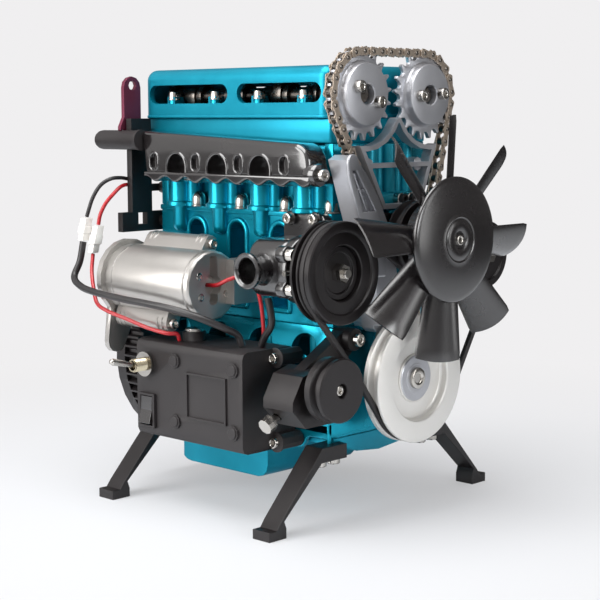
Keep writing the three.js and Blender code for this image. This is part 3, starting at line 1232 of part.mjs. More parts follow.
const chainWheels = (guideX) => [
  { x: 0, z: crankHeight, radius: pitchRadius(chain.crankTeeth), turn: 1 },
  { x: cam.spread, z: cam.height, radius: pitchRadius(chain.camTeeth), turn: 1 },
  { x: -cam.spread, z: cam.height, radius: pitchRadius(chain.camTeeth), turn: 1 },
  { x: guideX, z: chain.guideHeight, radius: chain.guideRadius, turn: -1 },
];
const freeLength = loopPath(chainWheels(chain.guideFace - chain.guideRadius)).length;
const linkCount = 2 * Math.round(freeLength / chain.pitch / 2);

function solvedGuideX() {
  const touching = chain.guideRadius + pitchRadius(chain.crankTeeth) + gap;
  let high = -Math.sqrt(touching ** 2 - (chain.guideHeight - crankHeight) ** 2);
  let low = high - chain.solveReach;
  for (let i = 0; i < chain.solveRounds; i += 1) {
    const x = (low + high) / 2;
    if (loopPath(chainWheels(x)).length > linkCount * chain.pitch) high = x;
    else low = x;
  }
  return (low + high) / 2;
}
const guideX = solvedGuideX();
const chainLoop = loopPath(chainWheels(guideX));

/** The place that lies a distance round the chain, counted from the crank sprocket. */
function placeOnChain(distance) {
  let left = distance;
  const segment = chainLoop.segments.find((candidate) => {
    if (left <= candidate.length) return true;
    left -= candidate.length;
    return false;
  }) ?? chainLoop.segments.at(-1);
  return placeOn(segment, Math.min(left, segment.length));
}
const halfLinks = Array.from({ length: 2 * linkCount }, (_, i) =>
  placeOnChain((i * chainLoop.length) / (2 * linkCount)));
const pins = halfLinks.filter((_, i) => i % 2 === 0);

/** The angle of the chain pin that lies nearest above or beside a sprocket's own axis. */
function pinPhase(x, z) {
  const nearest = pins.reduce((best, pin) =>
    (Math.hypot(pin.x - x, pin.z - z) < Math.hypot(best.x - x, best.z - z) ? pin : best));
  return Math.atan2(nearest.z - z, nearest.x - x);
}

function timingChain() {
  const c = chain;
  const half = (i) => (i % 2 === 0 ? c.plateHalf : c.waistHalf);
  const strips = [-1, 1].map((side) => band(halfLinks, half,
    c.plane + (side < 0 ? -c.plateOuter : c.plateInner), c.plane
      + (side < 0 ? -c.plateInner : c.plateOuter), 2));
  const toothed = chainWheels(guideX).slice(0, 3);
  const free = pins.filter(({ x, z }) => toothed.every((wheel) =>
    Math.hypot(x - wheel.x, z - wheel.z) > wheel.radius + sprocket.tipRise + c.pinRadius + gap));
  const reach = c.plateInner + gap;
  return join(strips[0], strips[1], free.map(({ x, z }) => alongPlate(rectangle(x - c.pinRadius,
    x + c.pinRadius, z - c.pinRadius, z + c.pinRadius), c.plane - reach, c.plane + reach)));
}
add('timing_chain', timingChain(), finishes.steel);

const crankPhase = pinPhase(0, crankHeight);
add('crankshaft', crankshaftShape(crankPhase), finishes.steel, [0, 0, crankHeight]);

function camSprocket(phase) {
  const s = sprocket;
  const disc = turnedAlong([
    [cam.shaftRadius + gap, s.discFront], [s.discRadius, s.discFront], [s.discRadius, s.discRear],
    [cam.shaftRadius + gap, s.discRear],
  ]);
  const ringOfTeeth = cut(sprocketTeeth(chain.camTeeth, phase, chain.plane),
    turnedAlong(bar(s.discRadius - s.seat, chain.plane - overrun, chain.plane + overrun)));
  return join(disc, ringOfTeeth);
}

function camshaftShape() {
  const c = cam;
  const shaft = turnedAlong(bar(c.shaftRadius, sprocket.discFront + wall, c.rearEnd));
  const lobes = saddles.map((y, i) => {
    const angle = i * quarterTurn;
    const outline = strap(0, 0, c.lobeRadius, (c.lift + wall / 2) * Math.cos(angle),
      (c.lift + wall / 2) * Math.sin(angle), c.lobeRadius - wall / 2);
    return alongPlate(outline, y - c.lobeReach - c.lobeWidth / 2, y - c.lobeReach + c.lobeWidth / 2);
  });
  return join(shaft, lobes);
}

[['exhaust', -1], ['intake', 1]].forEach(([label, side]) => {
  const place = [side * cam.spread, 0, cam.height];
  add(`${label}_sprocket`, camSprocket(pinPhase(place[0], place[2])), finishes.silver, place);
  add(`${label}_camshaft`, camshaftShape(), finishes.steel, place);
});

// Chain guide: an open frame with a rib, hollowed under both cam sprockets, on two posts

function chainGuide() {
  const g = guide;
  const foot = deckHeight + g.footRise;
  const rib = cam.height - g.ribDrop;
  const outline = [
    [g.lowLeft, foot], [g.lowRight, foot], [g.right, cam.height - g.rightDrop],
    [0, cam.height - g.apexDrop], [g.left, cam.height - g.leftDrop],
  ];
  const room = pitchRadius(chain.camTeeth) + chain.plateHalf + g.hollowGap;
  const rounds = (radius) => [-1, 1].map((side) => turnedAlong(bar(radius, g.front - overrun,
    g.rear + overrun), side * cam.spread, cam.height));
  const opening = cut(alongPlate(inset(outline, g.strut), g.front - overrun, g.rear + overrun),
    rounds(room + g.strut),
    alongPlate(rectangle(g.left, g.right, rib, rib + g.strut), g.front - overrun, g.rear + overrun));
  const posts = [-1, 1].map((side) => turnedAlong(bar(g.postRadius, g.rear - g.strut, frontFace),
    side * g.postX, rib + g.strut / 2));
  return join(cut(alongPlate(outline, g.front, g.rear), rounds(room), opening), posts);
}
add('chain_guide', chainGuide(), finishes.silver);

// Chain tensioner: an arm curved to the chain's pushed-in run, with a pocket in its face

function chainTensioner() {
  const t = tensioner;
  const near = chain.guideRadius - chain.plateHalf - gap;
  const top = Math.asin((cam.height - t.topDrop - chain.guideHeight) / near);
  const low = Math.asin((t.lowEnd - chain.guideHeight) / near);
  const belowCams = ([x, drop]) => [x, cam.height - drop];
  const face = arc(guideX, chain.guideHeight, near, low, top);
  const arm = alongPlate([...face, ...t.back.map(belowCams), [t.pivotX - t.pivotRadius, t.pivotHeight]],
    t.front, t.front + t.depth);
  const hub = turnedAlong(bar(t.pivotRadius, t.front, t.front + t.depth), t.pivotX, t.pivotHeight);
  const pocket = alongPlate(t.pocket.map(belowCams), t.front - overrun, t.front + t.pocketDepth);
  const post = turnedAlong(bar(t.postRadius, t.front + t.depth - gap, frontFace), t.pivotX, t.pivotHeight);
  const pulleyRoom = turnedAlong(bar(crankPulley.radius + wall, t.front - overrun, crankPulley.rear + wall),
    0, crankHeight);
  return join(cut(join(arm, hub), pocket, pulleyRoom), post);
}
add('chain_tensioner', chainTensioner(), finishes.silver);

// Leads between the motor, the connectors, the rear bracket and the battery box

function lead(points, radius) {
  const curve = new THREE.CatmullRomCurve3(points.map((point) => new THREE.Vector3(...point)), false,
    'centripetal');
  const section = Array.from({ length: wire.sides }, (_, i) => {
    const angle = (wholeTurn * i) / wire.sides;
    return new THREE.Vector2(radius * Math.cos(angle), radius * Math.sin(angle));
  });
  const steps = 2 * (points.length - 1);
  return solid(new THREE.ExtrudeGeometry(new THREE.Shape(section), { steps, bevelEnabled: false,
    extrudePath: curve }));
}

/** The end of a connector: a point in the middle of its face, a gap away from it. */
const plugEnd = ([x, drop], y, away) => [x, y, deckHeight - drop + away];
const aboveDeck = (points) => points.map(([x, y, z]) => [x, y, deckHeight + z]);

const routes = {
  black_lead: [plugEnd(plug.blackFoot, plug.blackY, -2 * gap), [-65, 82.2, 107], [-68.5, 82, 100.5], [-74, 70, 97],
    [-75.8, 58, 95.5], [-75.5, 40, 94], [-74.5, 22, 93], [-72, 8, 91.5], [-67.5, -3, 88.5], [-60, -10, 84],
    [-54.5, -13, 80.5], [-53, -14, 76]],
  red_lead: [plugEnd(plug.redFoot, plug.redY, -2 * gap), [-64.5, 74, 103], [-68, 68.5, 96], [-71.8, 61, 89.5],
    [-72, 54, 87], [-70, 42, 84], [-68, 30, 81], [-65.8, 20, 79.4], [-62, 17.8, 78.8], [-60.5, 18, 76]],
  motor_lead: [[-55.5, 5.4, 101], [-55.2, -1, 101.5], [-53, -6, 104], [-49, -11, 105.5], [-46, -15, 102],
    [-44.5, -17, 94], [-44, -18, 84], [-44, -18, 76]],
  pump_hose: [[-50, -27, 97.5], [-49.5, -28, 92], [-49, -28, 86], [-48.5, -23.5, 80.5], [-48.3, -21, 76.2]],
  loop_lead_red: [...aboveDeck([[-37.5, 72.9, 8.2], [-42.5, 73.1, 9.2], [-47.5, 72.3, 8.6], [-51.6, 72.6, 5.6],
    [-55.2, 74.6, 0.8], [-57.2, 76.2, -4.4]]), plugEnd(plug.redTop, plug.redY, 2 * gap)],
  loop_lead_black: [...aboveDeck([[-37.5, 73, 11.4], [-42.5, 73.2, 11.9], [-48, 72.6, 12.6], [-53, 73.4, 12.2],
    [-56.8, 75.6, 9.6], [-59.2, 78.6, 4]]), plugEnd(plug.blackTop, plug.blackY, 2 * gap)],
};
add('black_lead', lead(routes.black_lead, wire.hose), finishes.rubber);
add('red_lead', lead(routes.red_lead, wire.radius), finishes.red);
add('motor_lead', lead(routes.motor_lead, wire.radius), finishes.red);
add('pump_hose', lead(routes.pump_hose, wire.hose), finishes.rubber);
add('loop_lead_red', lead(routes.loop_lead_red, wire.radius), finishes.red);
add('loop_lead_black', lead(routes.loop_lead_black, wire.radius), finishes.rubber);

function connectorHalf([topX, topDrop], [footX, footDrop], y) {
  return alongPlate([
    [footX - plug.half, deckHeight - footDrop], [footX + plug.half, deckHeight - footDrop],
    [topX + plug.half, deckHeight - topDrop], [topX - plug.half, deckHeight - topDrop],
  ], y - plug.half, y + plug.half);
}
add('connector', join(connectorHalf(plug.redTop, plug.redFoot, plug.redY),
  connectorHalf(plug.blackTop, plug.blackFoot, plug.blackY)), finishes.white);

// The model stands with the middle of its box over the origin; the loose leads don't count

const loose = ['black_lead', 'red_lead', 'motor_lead', 'loop_lead_red', 'loop_lead_black', 'connector'];
model.updateMatrixWorld(true);
const extent = new THREE.Box3();
model.children.filter((piece) => !loose.includes(piece.name))
  .forEach((piece) => extent.expandByObject(piece, true));
model.position.set(-(extent.min.x + extent.max.x) / 2, -(extent.min.y + extent.max.y) / 2, -extent.min.z);

export default model;
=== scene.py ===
# %% [markdown]
# A display model of a four stroke engine, dressed for a photograph
#
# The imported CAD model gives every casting, shaft and wheel its place. This lesson builds the visible
# skin of each piece on top of it: smooth shells worked out with numpy, real chain links, screws, leads,
# and procedural finishes for anodised aluminium, black castings, moulded plastic and plated steel.

import json

import bmesh
import bpy
import numpy as np
from mathutils import Matrix, Vector
from mathutils.geometry import tessellate_polygon

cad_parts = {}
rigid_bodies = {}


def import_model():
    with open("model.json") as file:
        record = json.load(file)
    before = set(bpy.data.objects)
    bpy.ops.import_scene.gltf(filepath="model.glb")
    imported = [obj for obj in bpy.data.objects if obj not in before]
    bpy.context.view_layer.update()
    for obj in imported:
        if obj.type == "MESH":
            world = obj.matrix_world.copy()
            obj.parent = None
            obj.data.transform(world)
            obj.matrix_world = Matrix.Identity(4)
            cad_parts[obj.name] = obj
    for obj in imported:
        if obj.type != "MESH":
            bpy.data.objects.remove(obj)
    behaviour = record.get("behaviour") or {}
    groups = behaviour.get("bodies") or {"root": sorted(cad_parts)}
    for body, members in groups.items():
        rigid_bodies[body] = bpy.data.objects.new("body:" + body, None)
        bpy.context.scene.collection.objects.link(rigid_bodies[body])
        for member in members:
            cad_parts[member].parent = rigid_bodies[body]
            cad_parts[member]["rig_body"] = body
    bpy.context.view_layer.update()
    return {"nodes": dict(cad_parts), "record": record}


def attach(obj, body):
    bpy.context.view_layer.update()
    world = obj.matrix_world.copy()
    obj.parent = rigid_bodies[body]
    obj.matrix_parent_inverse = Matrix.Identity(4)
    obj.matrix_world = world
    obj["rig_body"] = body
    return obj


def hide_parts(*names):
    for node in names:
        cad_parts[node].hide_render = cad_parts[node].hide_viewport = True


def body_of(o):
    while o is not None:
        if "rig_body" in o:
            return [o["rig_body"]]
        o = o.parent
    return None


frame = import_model()
joints = {joint["name"]: joint for joint in frame["record"]["behaviour"]["joints"]}
print("pieces in the CAD model:", len(frame["nodes"]))

# %% [markdown]
# The bench numbers below are in millimetres from the crankshaft's upright centre line: X across the
# engine, Y along it with the fan at minus Y, Z up from the floor. That keeps them readable, and one
# function turns them into Blender's metres. The crank joint says where that centre line is. Shafts run
# along Y, so each one's place is a pair (x, z).

# %% Bench millimetres to scene metres
MM = 0.001
CRANK_HEIGHT = 61.5
CRANK, FAN, PUMP, IDLER, ALTERNATOR = (0, CRANK_HEIGHT), (0, 122.5), (-49.4, 110.9), (-50.3, 62.8), (46, 112)
CAM_X, CAM_Z = 20.625, 182.9
UP, DOWN, FRONT, ALONG, LEFT = (0, 0, 1), (0, 0, -1), (0, -1, 0), (0, 1, 0), (-1, 0, 0)
SIDES = (-1, 1)
bench_origin = np.array(joints["crank_spin"]["pos_m"]) / MM
bench_origin[2] -= CRANK_HEIGHT


def metres(points):
    """Bench points in millimetres as scene points in metres: add the bench origin, then scale."""
    return (np.asarray(points, float) + bench_origin) * MM


def linked(name, data):
    """A mesh, a lamp or a camera as an object that is part of the scene."""
    thing = bpy.data.objects.new(name, data)
    bpy.context.collection.objects.link(thing)
    return thing


print("bench origin in millimetres:", bench_origin.round(3))

# %% [markdown]
# The camera comes first, because every later choice is compared through it. It stands half a metre off,
# level with the cylinder head, and looks at the engine's fan end and exhaust side with a long lens, so
# that upright edges stay upright. Its matrix is built from three unit vectors: right, up and back.

# %% Camera
turn, tilt, roll = np.radians([-45.96, 7.05, -0.21])
back = np.array([np.sin(turn) * np.cos(tilt), -np.cos(turn) * np.cos(tilt), np.sin(tilt)])
right = np.cross(-back, UP)
right /= np.linalg.norm(right)
up = np.cross(back, right)
right, up = np.cos(roll) * right + np.sin(roll) * up, np.cos(roll) * up - np.sin(roll) * right
SENSOR_MM, FOCAL_PIXELS, PICTURE_PIXELS = 36, 1506.9, 600
lens = bpy.data.cameras.new("camera")
lens.lens, lens.sensor_width, lens.clip_start = SENSOR_MM * FOCAL_PIXELS / PICTURE_PIXELS, SENSOR_MM, 0.01
camera = linked("camera", lens)
facing = Matrix(np.stack([right, up, back], 1).tolist()).to_4x4()
camera.matrix_world = Matrix.Translation(Vector(metres([-496.233, -477.397, 174.971]))) @ facing
bpy.context.scene.camera = camera
print("camera lens in millimetres:", round(lens.lens, 2))

# %% [markdown]
# Colours are written as the hex values that a screen shows, and turned into the linear values that the
# shaders work with.


# %% Colour helper
def hue(code):
    """A hex colour as linear red, green, blue and alpha: each channel is undone from the screen curve."""
    value = np.array([int(code[k : k + 2], 16) for k in (0, 2, 4)]) / 255
    linear = np.where(value <= 0.04045, value / 12.92, ((value + 0.055) / 1.055) ** 2.4)
    return (*linear.tolist(), 1.0)


BACKDROP = hue("f0eff0")
print("backdrop in linear values:", np.round(BACKDROP, 3))

# %% [markdown]
# Effects that several finishes share are node groups. Each has named inputs, so that a casting and a
# moulding can use the same effect at their own scale. One helper adds a node together with its settings,
# values and links, so that each line reads as one step of the effect.


# %% Node helpers
FLOAT, COLOR, VECTOR = "NodeSocketFloat", "NodeSocketColor", "NodeSocketVector"


def feed(tree, node, inputs):
    """Fill a node's inputs: (socket, value) sets one, (socket, node, output) links one."""
    for socket, source, *output in inputs:
        if output:
            tree.links.new(source.outputs[output[0]], node.inputs[socket])
        else:
            node.inputs[socket].default_value = source


def add_node(tree, kind, inputs=(), **settings):
    """A new node of a kind: first its settings, then its inputs."""
    node = tree.nodes.new("ShaderNode" + kind)
    for setting, value in settings.items():
        setattr(node, setting, value)
    feed(tree, node, inputs)
    return node


def new_group(name, inputs, outputs):
    """An empty shader node group with named sockets: each input is a name, a socket type and a default."""
    group = bpy.data.node_groups.new(name, "ShaderNodeTree")
    for label, kind, default in inputs:
        group.interface.new_socket(label, in_out="INPUT", socket_type=kind).default_value = default
    for label, kind in outputs:
        group.interface.new_socket(label, in_out="OUTPUT", socket_type=kind)
    return group, group.nodes.new("NodeGroupInput"), group.nodes.new("NodeGroupOutput")


# %% [markdown]
# "Surface grain" is the fine roughness of blasted, cast or moulded skin. It could be a displaced mesh,
# but at this depth a bump from noise looks the same and costs nothing in triangles.

# %% Surface grain
grain, grain_in, grain_out = new_group(
    "surface grain",
    [("Scale", FLOAT, 900.0), ("Depth", FLOAT, 0.00003), ("Strength", FLOAT, 0.4)], [("Normal", VECTOR)])
grain_place = add_node(grain, "TexCoord")
grain_noise = add_node(grain, "TexNoise", [
    ("Detail", 3.0), ("Vector", grain_place, "Object"), ("Scale", grain_in, "Scale")])
grain_bump = add_node(grain, "Bump", [
    ("Height", grain_noise, "Fac"), ("Distance", grain_in, "Depth"), ("Strength", grain_in, "Strength")])
feed(grain, grain_out, [("Normal", grain_bump, "Normal")])
print(grain.name, "has", len(grain.nodes), "nodes")

# %% [markdown]
# "Handling" varies gloss and colour in soft patches, as fingers and dust do. The same noise drives both,
# because a rubbed spot is brighter and smoother at once.

# %% Handling
handling, handling_in, handling_out = new_group(
    "handling",
    [("Color", COLOR, (0.5, 0.5, 0.5, 1)), ("Worn Color", COLOR, (0.6, 0.6, 0.6, 1)),
     ("Roughness", FLOAT, 0.4), ("Spread", FLOAT, 0.1), ("Scale", FLOAT, 60.0), ("Amount", FLOAT, 0.3)],
    [("Color", COLOR), ("Roughness", FLOAT)])
handling_place = add_node(handling, "TexCoord")
patches = add_node(handling, "TexNoise", [
    ("Detail", 5.0), ("Roughness", 0.62), ("Vector", handling_place, "Object"),
    ("Scale", handling_in, "Scale")])
patch_ramp = add_node(handling, "MapRange", [
    ("From Min", 0.38), ("From Max", 0.68), ("Value", patches, "Fac")])
worn_share = add_node(handling, "Math", [(0, patch_ramp, "Result"), (1, handling_in, "Amount")],
                      operation="MULTIPLY")
worn_mix = add_node(handling, "Mix", [
    (0, worn_share, 0), (6, handling_in, "Color"), (7, handling_in, "Worn Color")], data_type="RGBA")
gloss_shift = add_node(handling, "Math", [(0, patches, "Fac"), (1, 0.5)], operation="SUBTRACT")
gloss = add_node(handling, "Math", [
    (0, gloss_shift, 0), (1, handling_in, "Spread"), (2, handling_in, "Roughness")], operation="MULTIPLY_ADD")
feed(handling, handling_out, [("Color", worn_mix, 2), ("Roughness", gloss, 0)])
print(handling.name, "has", len(handling.nodes), "nodes")

# %% [markdown]
# "Turned rings" are the tool marks that a lathe leaves about an axis. The distance from the axis, counted
# in ring pitches, goes into a noise of one dimension, so that no two rings are quite alike.

# %% Turned rings
rings, rings_in, rings_out = new_group(
    "turned rings",
    [("Center", VECTOR, (0, 0, 0)), ("Pitch", FLOAT, 0.0005), ("Depth", FLOAT, 0.00002),
     ("Strength", FLOAT, 0.5)], [("Normal", VECTOR)])
rings_place = add_node(rings, "TexCoord")
rings_arm = add_node(rings, "VectorMath", [(0, rings_place, "Object"), (1, rings_in, "Center")],
                     operation="SUBTRACT")
rings_flat = add_node(rings, "VectorMath", [(0, rings_arm, 0), (1, (1, 0, 1))], operation="MULTIPLY")
rings_radius = add_node(rings, "VectorMath", [(0, rings_flat, 0)], operation="LENGTH")
rings_count = add_node(rings, "Math", [(0, rings_radius, "Value"), (1, rings_in, "Pitch")],
                       operation="DIVIDE")
rings_uneven = add_node(rings, "TexNoise", [("Scale", 1.0), ("Detail", 3.0), ("W", rings_count, 0)],
                        noise_dimensions="1D")
rings_bump = add_node(rings, "Bump", [
    ("Height", rings_uneven, "Fac"), ("Distance", rings_in, "Depth"), ("Strength", rings_in, "Strength")])
feed(rings, rings_out, [("Normal", rings_bump, "Normal")])
print(rings.name, "has", len(rings.nodes), "nodes")

# %% [markdown]
# A finish is one Principled shader fed by the groups. Metals take their colour from what they mirror, so
# their finish is mostly roughness; plastics and paint need a coat for the thin bright reflection that
# lies over a dark body.


# %% Finishes
def new_finish(name, colors, roughness, metallic=0.0, amount=0.3, patch=60.0, relief=(900.0, 0.00002, 0.3),
               coat=(0.0, 0.1, 1.5), center=None):
    """A material: the handling group feeds colour and roughness, grain or turned rings feed the normal.

    Colors is the plain and the worn one. Relief is the grain's scale or the rings' pitch, then depth and
    strength. Coat is weight, roughness and index. Rings need the bench point of their center."""
    material = bpy.data.materials.new(name)
    material.use_nodes = True
    tree = material.node_tree
    plain, worn = (hue(code) for code in colors.split())
    skin = add_node(tree, "Group", [
        ("Color", plain), ("Worn Color", worn), ("Roughness", roughness), ("Spread", 0.1), ("Scale", patch),
        ("Amount", amount)], node_tree=handling)
    if center is None:
        bumps = add_node(tree, "Group", [("Scale", relief[0])], node_tree=grain)
    else:
        bumps = add_node(tree, "Group", [("Center", metres(center)), ("Pitch", relief[0])], node_tree=rings)
    feed(tree, bumps, [("Depth", relief[1]), ("Strength", relief[2])])
    feed(tree, tree.nodes["Principled BSDF"], [
        ("Base Color", skin, "Color"), ("Roughness", skin, "Roughness"), ("Normal", bumps, "Normal"),
        ("Metallic", metallic), ("Coat Weight", coat[0]), ("Coat Roughness", coat[1]), ("Coat IOR", coat[2])])
    return material


# %% [markdown]
# The large castings are blue anodised aluminium: dyed metal, so the colour sits in the reflection itself.
# A plain blue paint would look chalky and a full metal would go black where the room is dark. A metallic
# share of about two thirds gives both the sheen and an even blue. Faces that lie in shade get a paler,
# less metallic copy of the same blue: painted light, so that their shade reads lighter.

# %% Blue finishes
BELT_Y = -66.0
blue_satin = new_finish("blue satin anodising", "008ca6 14a2bb", 0.36, 0.66, 0.35,
                        relief=(1600, 0.00002, 0.25))
blue_bright = new_finish("blue bright anodising", "0093ac 1facc4", 0.25, 0.72, relief=(1200, 0.00001, 0.2))
# The same blue anodising, paler and less metallic: painted light for faces that stand in shade.
blue_painted_light = new_finish("blue anodising, painted light for shaded faces", "0a96ae 1caac2", 0.3, 0.45, relief=(1200, 0.00001, 0.2))
brass_tint = new_finish("passivated bushing", "c2b8a0 b0a58c", 0.26, 1.0, patch=200)
# %% [markdown]
# Five parts are black in five ways: glossy enamel, anodising, enamel on a casting, moulded plastic and
# nylon. One black would make them a single silhouette. Their bases are almost equal, so the differences
# lie in the coat, the roughness and the size of the grain.

# %% Black finishes
black_gloss = new_finish("black gloss enamel", "110d0e 1b1718", 0.26, amount=0.4, relief=(260, 0.0001, 0.14),
                         coat=(1.0, 0.09, 1.8))
black_metal = new_finish("black anodising", "171314 221e1f", 0.4, 0.15, 0.5, relief=(1500, 0.00002, 0.35))
black_cast = new_finish("black cast enamel", "110e0f 1b1718", 0.28, amount=0.4, relief=(420, 0.00005, 0.2),
                        coat=(0.9, 0.16, 1.8))
black_plastic = new_finish("black moulded plastic", "1f1b1c 282425", 0.5, amount=0.4,
                           relief=(2600, 0.00003, 0.5))
fan_plastic = new_finish("black fan nylon", "130f10 1a1617", 0.26, amount=0.4, relief=(1800, 0.00001, 0.25),
                         coat=(0.8, 0.22, 1.7))
# %% [markdown]
# Bright parts are blasted, turned, drawn, plated or oiled metal. All could share one steel, but the eye
# tells them apart by their roughness, so each has its own, and the crank's pulley has turned rings.

# %% Metal finishes
silver = new_finish("silver blasted aluminium", "b4b5ba c4c5c9", 0.36, 0.72, 0.4,
                    relief=(2200, 0.00003, 0.45))
turned_silver = new_finish("turned aluminium", "dddbd7 e6e4e0", 0.42, 0.55, relief=(0.00035, 0.00003, 0.35),
                           center=(CRANK[0], BELT_Y, CRANK[1]))
motor_shell = new_finish("motor shell", "b3b0ac c2bfbb", 0.34, 0.85, 0.45, 25, (700, 0.00002, 0.2))
steel = new_finish("bright steel", "c3bfb9 a9a49d", 0.2, 1.0, 0.3, 200, (900, 0.00001, 0.2))
dark_steel = new_finish("oiled steel", "6b6661 8a847d", 0.28, 1.0, 0.5, 150, (900, 0.00001, 0.25))
chain_steel = new_finish("chain steel", "cbbcac a89a8b", 0.3, 0.8, 0.6, 260, (1400, 0.00002, 0.3))
maroon = new_finish("maroon anodising", "6b2a3f 7d3a50", 0.36, 0.55)
# %% [markdown]
# Rubber, insulation and nylon aren't metals. Their highlights are wide and weak, which is roughness, and
# the insulation has a thin coat for its slight shine. The turned blacks carry rings about their shafts.

# %% Rubber, insulation and turned blacks
rubber = new_finish("belt rubber", "1a1617 232021", 0.6, amount=0.5, relief=(1500, 0.00005, 0.5))
black_sleeve = new_finish("black insulation", "1a1719 272425", 0.42, amount=0.4, patch=120,
                          coat=(0.2, 0.3, 1.5))
red_sleeve = new_finish("red insulation", "a8101a bd1c26", 0.36, amount=0.5, patch=120,
                        coat=(0.3, 0.25, 1.5))
white_nylon = new_finish("white nylon", "dedbd6 eceae6", 0.45, amount=0.5, patch=150)
black_turned = new_finish("black turned pulley", "161213 201c1d", 0.36, 0.2, 0.4,
                          relief=(0.0004, 0.00003, 0.4), center=(PUMP[0], BELT_Y, PUMP[1]))
idler_turned = new_finish("black turned idler", "1b1718 262223", 0.42, 0.15, 0.4,
                          relief=(0.0004, 0.00003, 0.4), center=(IDLER[0], BELT_Y, IDLER[1]))
# A near-black finish that stands for the shade inside the valve cover: painted shade.
painted_shade_finish = new_finish("painted shade", "0d0c0d 181617", 0.6)
print("finishes:", len(bpy.data.materials))

# %% [markdown]
# The studio: a pale floor, four soft boxes and a dim room. To the camera the floor is partly its own lit
# surface, which holds the engine's soft shadow, and partly the backdrop's plain colour. The share of the
# backdrop grows with the distance from the engine, so that there is no horizon line. The floor's own
# colour darkens with the distance, so that dark castings mirror less of it and keep their depth.


# %% Floor
def ramp(tree, source, low, high, low_value, high_value):
    """A smooth step of a node's number output: one value up to low, another from high on."""
    return add_node(tree, "MapRange", [
        ("From Min", low), ("From Max", high), ("To Min", low_value), ("To Max", high_value),
        ("Value", source, "Value")], interpolation_type="SMOOTHSTEP")


reach = 6.0
floor_mesh = bpy.data.meshes.new("floor")
floor_mesh.from_pydata([(-reach, -reach, 0), (reach, -reach, 0), (reach, reach, 0), (-reach, reach, 0)], [],
                       [(0, 1, 2, 3)])
floor = linked("floor", floor_mesh)
floor_material = bpy.data.materials.new("pale floor")
floor_material.use_nodes = True
ground = floor_material.node_tree
floor_place = add_node(ground, "TexCoord")
floor_far = add_node(ground, "VectorMath", [(0, floor_place, "Object")], operation="LENGTH")
floor_ramp = ramp(ground, floor_far, 0.05, 0.42, 0.42, 1.0)
floor_fade = ramp(ground, floor_far, 0.25, 0.8, 1.0, 0.08)
floor_tint = add_node(ground, "VectorMath", [(0, (0.66, 0.68, 0.71)), ("Scale", floor_fade, 0)],
                      operation="SCALE")
floor_shader = ground.nodes["Principled BSDF"]
feed(ground, floor_shader, [("Base Color", floor_tint, 0), ("Roughness", 0.5)])
floor_glow = add_node(ground, "Emission", [("Color", BACKDROP)])
floor_path = add_node(ground, "LightPath")
floor_share = add_node(ground, "Math", [(0, floor_ramp, "Result"), (1, floor_path, "Is Camera Ray")],
                       operation="MULTIPLY")
floor_mix = add_node(ground, "MixShader", [(0, floor_share, 0), (1, floor_shader, 0), (2, floor_glow, 0)])
feed(ground, ground.nodes["Material Output"], [("Surface", floor_mix, 0)])
floor_mesh.materials.append(floor_material)
print("floor reaches", reach, "metres")

# %% [markdown]
# Soft boxes give the long, soft highlights. Each is an area lamp that is turned to look at its aim: its
# own Z axis points back along the line from the aim to its place.

# %% Soft boxes
for label, place, aim, size, power, tint in [
    ("top box", (-0.25, 0.0, 0.95), (0, 0, 0.1), 0.8, 11.0, (1, 1, 1)),
    ("left box", (-1.0, 0.3, 0.45), (0, 0, 0.1), 0.75, 10.0, (1, 0.99, 0.98)),
    ("front box", (-0.05, -1.1, 0.4), (0, 0, 0.1), 0.45, 4.5, (0.98, 0.99, 1)),
    ("strip box", (0.46, -1.0, 0.12), (0, -0.08, 0.12), 0.22, 1.7, (1, 1, 1)),
]:
    light = bpy.data.lights.new(label, "AREA")
    light.size, light.energy, light.color = size, power, tint
    if label == "strip box":
        light.shape, light.size_y = "RECTANGLE", 0.9
    way = Vector(place) - Vector(aim)
    facing = way.to_track_quat("Z", "Y").to_matrix().to_4x4()
    linked(label, light).matrix_world = Matrix.Translation(Vector(place)) @ facing
print("lamps:", len(bpy.data.lights))

# %% [markdown]
# The room is brighter on the left, as beside a window. Its strength follows the direction's dot product
# with a line to the left. The camera itself sees only the plain backdrop.

# %% The room
world = bpy.data.worlds.new("studio")
world.use_nodes = True
bpy.context.scene.world = world
room = world.node_tree
room_place = add_node(room, "TexCoord")
room_left = add_node(room, "VectorMath", [(0, room_place, "Generated"), (1, (-0.9, 0.3, 0.3))],
                     operation="DOT_PRODUCT")
room_ramp = ramp(room, room_left, -0.3, 0.8, 0.12, 0.7)
room_light = room.nodes["Background"]
feed(room, room_light, [("Color", (1, 0.98, 0.97, 1)), ("Strength", room_ramp, "Result")])
room_seen = add_node(room, "Background", [("Color", BACKDROP)])
room_path = add_node(room, "LightPath")
room_either = add_node(room, "Math", [(0, room_path, "Is Camera Ray"), (1, room_path, "Is Transmission Ray")],
                       operation="MAXIMUM")
room_mix = add_node(room, "MixShader", [(0, room_either, 0), (1, room_light, 0), (2, room_seen, 0)])
feed(room, room.nodes["World Output"], [("Surface", room_mix, 0)])
bpy.context.scene.view_settings.view_transform = "Standard"
print("room has", len(room.nodes), "nodes")

# %% [markdown]
# Every new surface is a grid of points, computed at once and put into a mesh. A "shell" here is a pair:
# an array of points and a list of faces. Small makers return shells, one function joins them, and one
# makes the Blender object, merges seams and poles, and lets it ride on its body.


# %% Shells
def grid_shell(points, wrap_rows=False, caps=False):
    """A grid of points, its columns closed to a ring, as quads; caps fill the first and the last row."""
    rows, columns = points.shape[:2]
    index = np.arange(rows * columns).reshape(rows, columns)
    if wrap_rows:
        index = np.vstack([index, index[:1]])
    index = np.hstack([index, index[:, :1]])
    quads = np.stack([index[:-1, :-1], index[:-1, 1:], index[1:, 1:], index[1:, :-1]], -1).reshape(-1, 4)
    faces = quads.tolist()
    if caps:
        faces.append(np.arange(columns)[::-1].tolist())
        faces.append((np.arange(columns) + (rows - 1) * columns).tolist())
    return points.reshape(-1, 3), faces


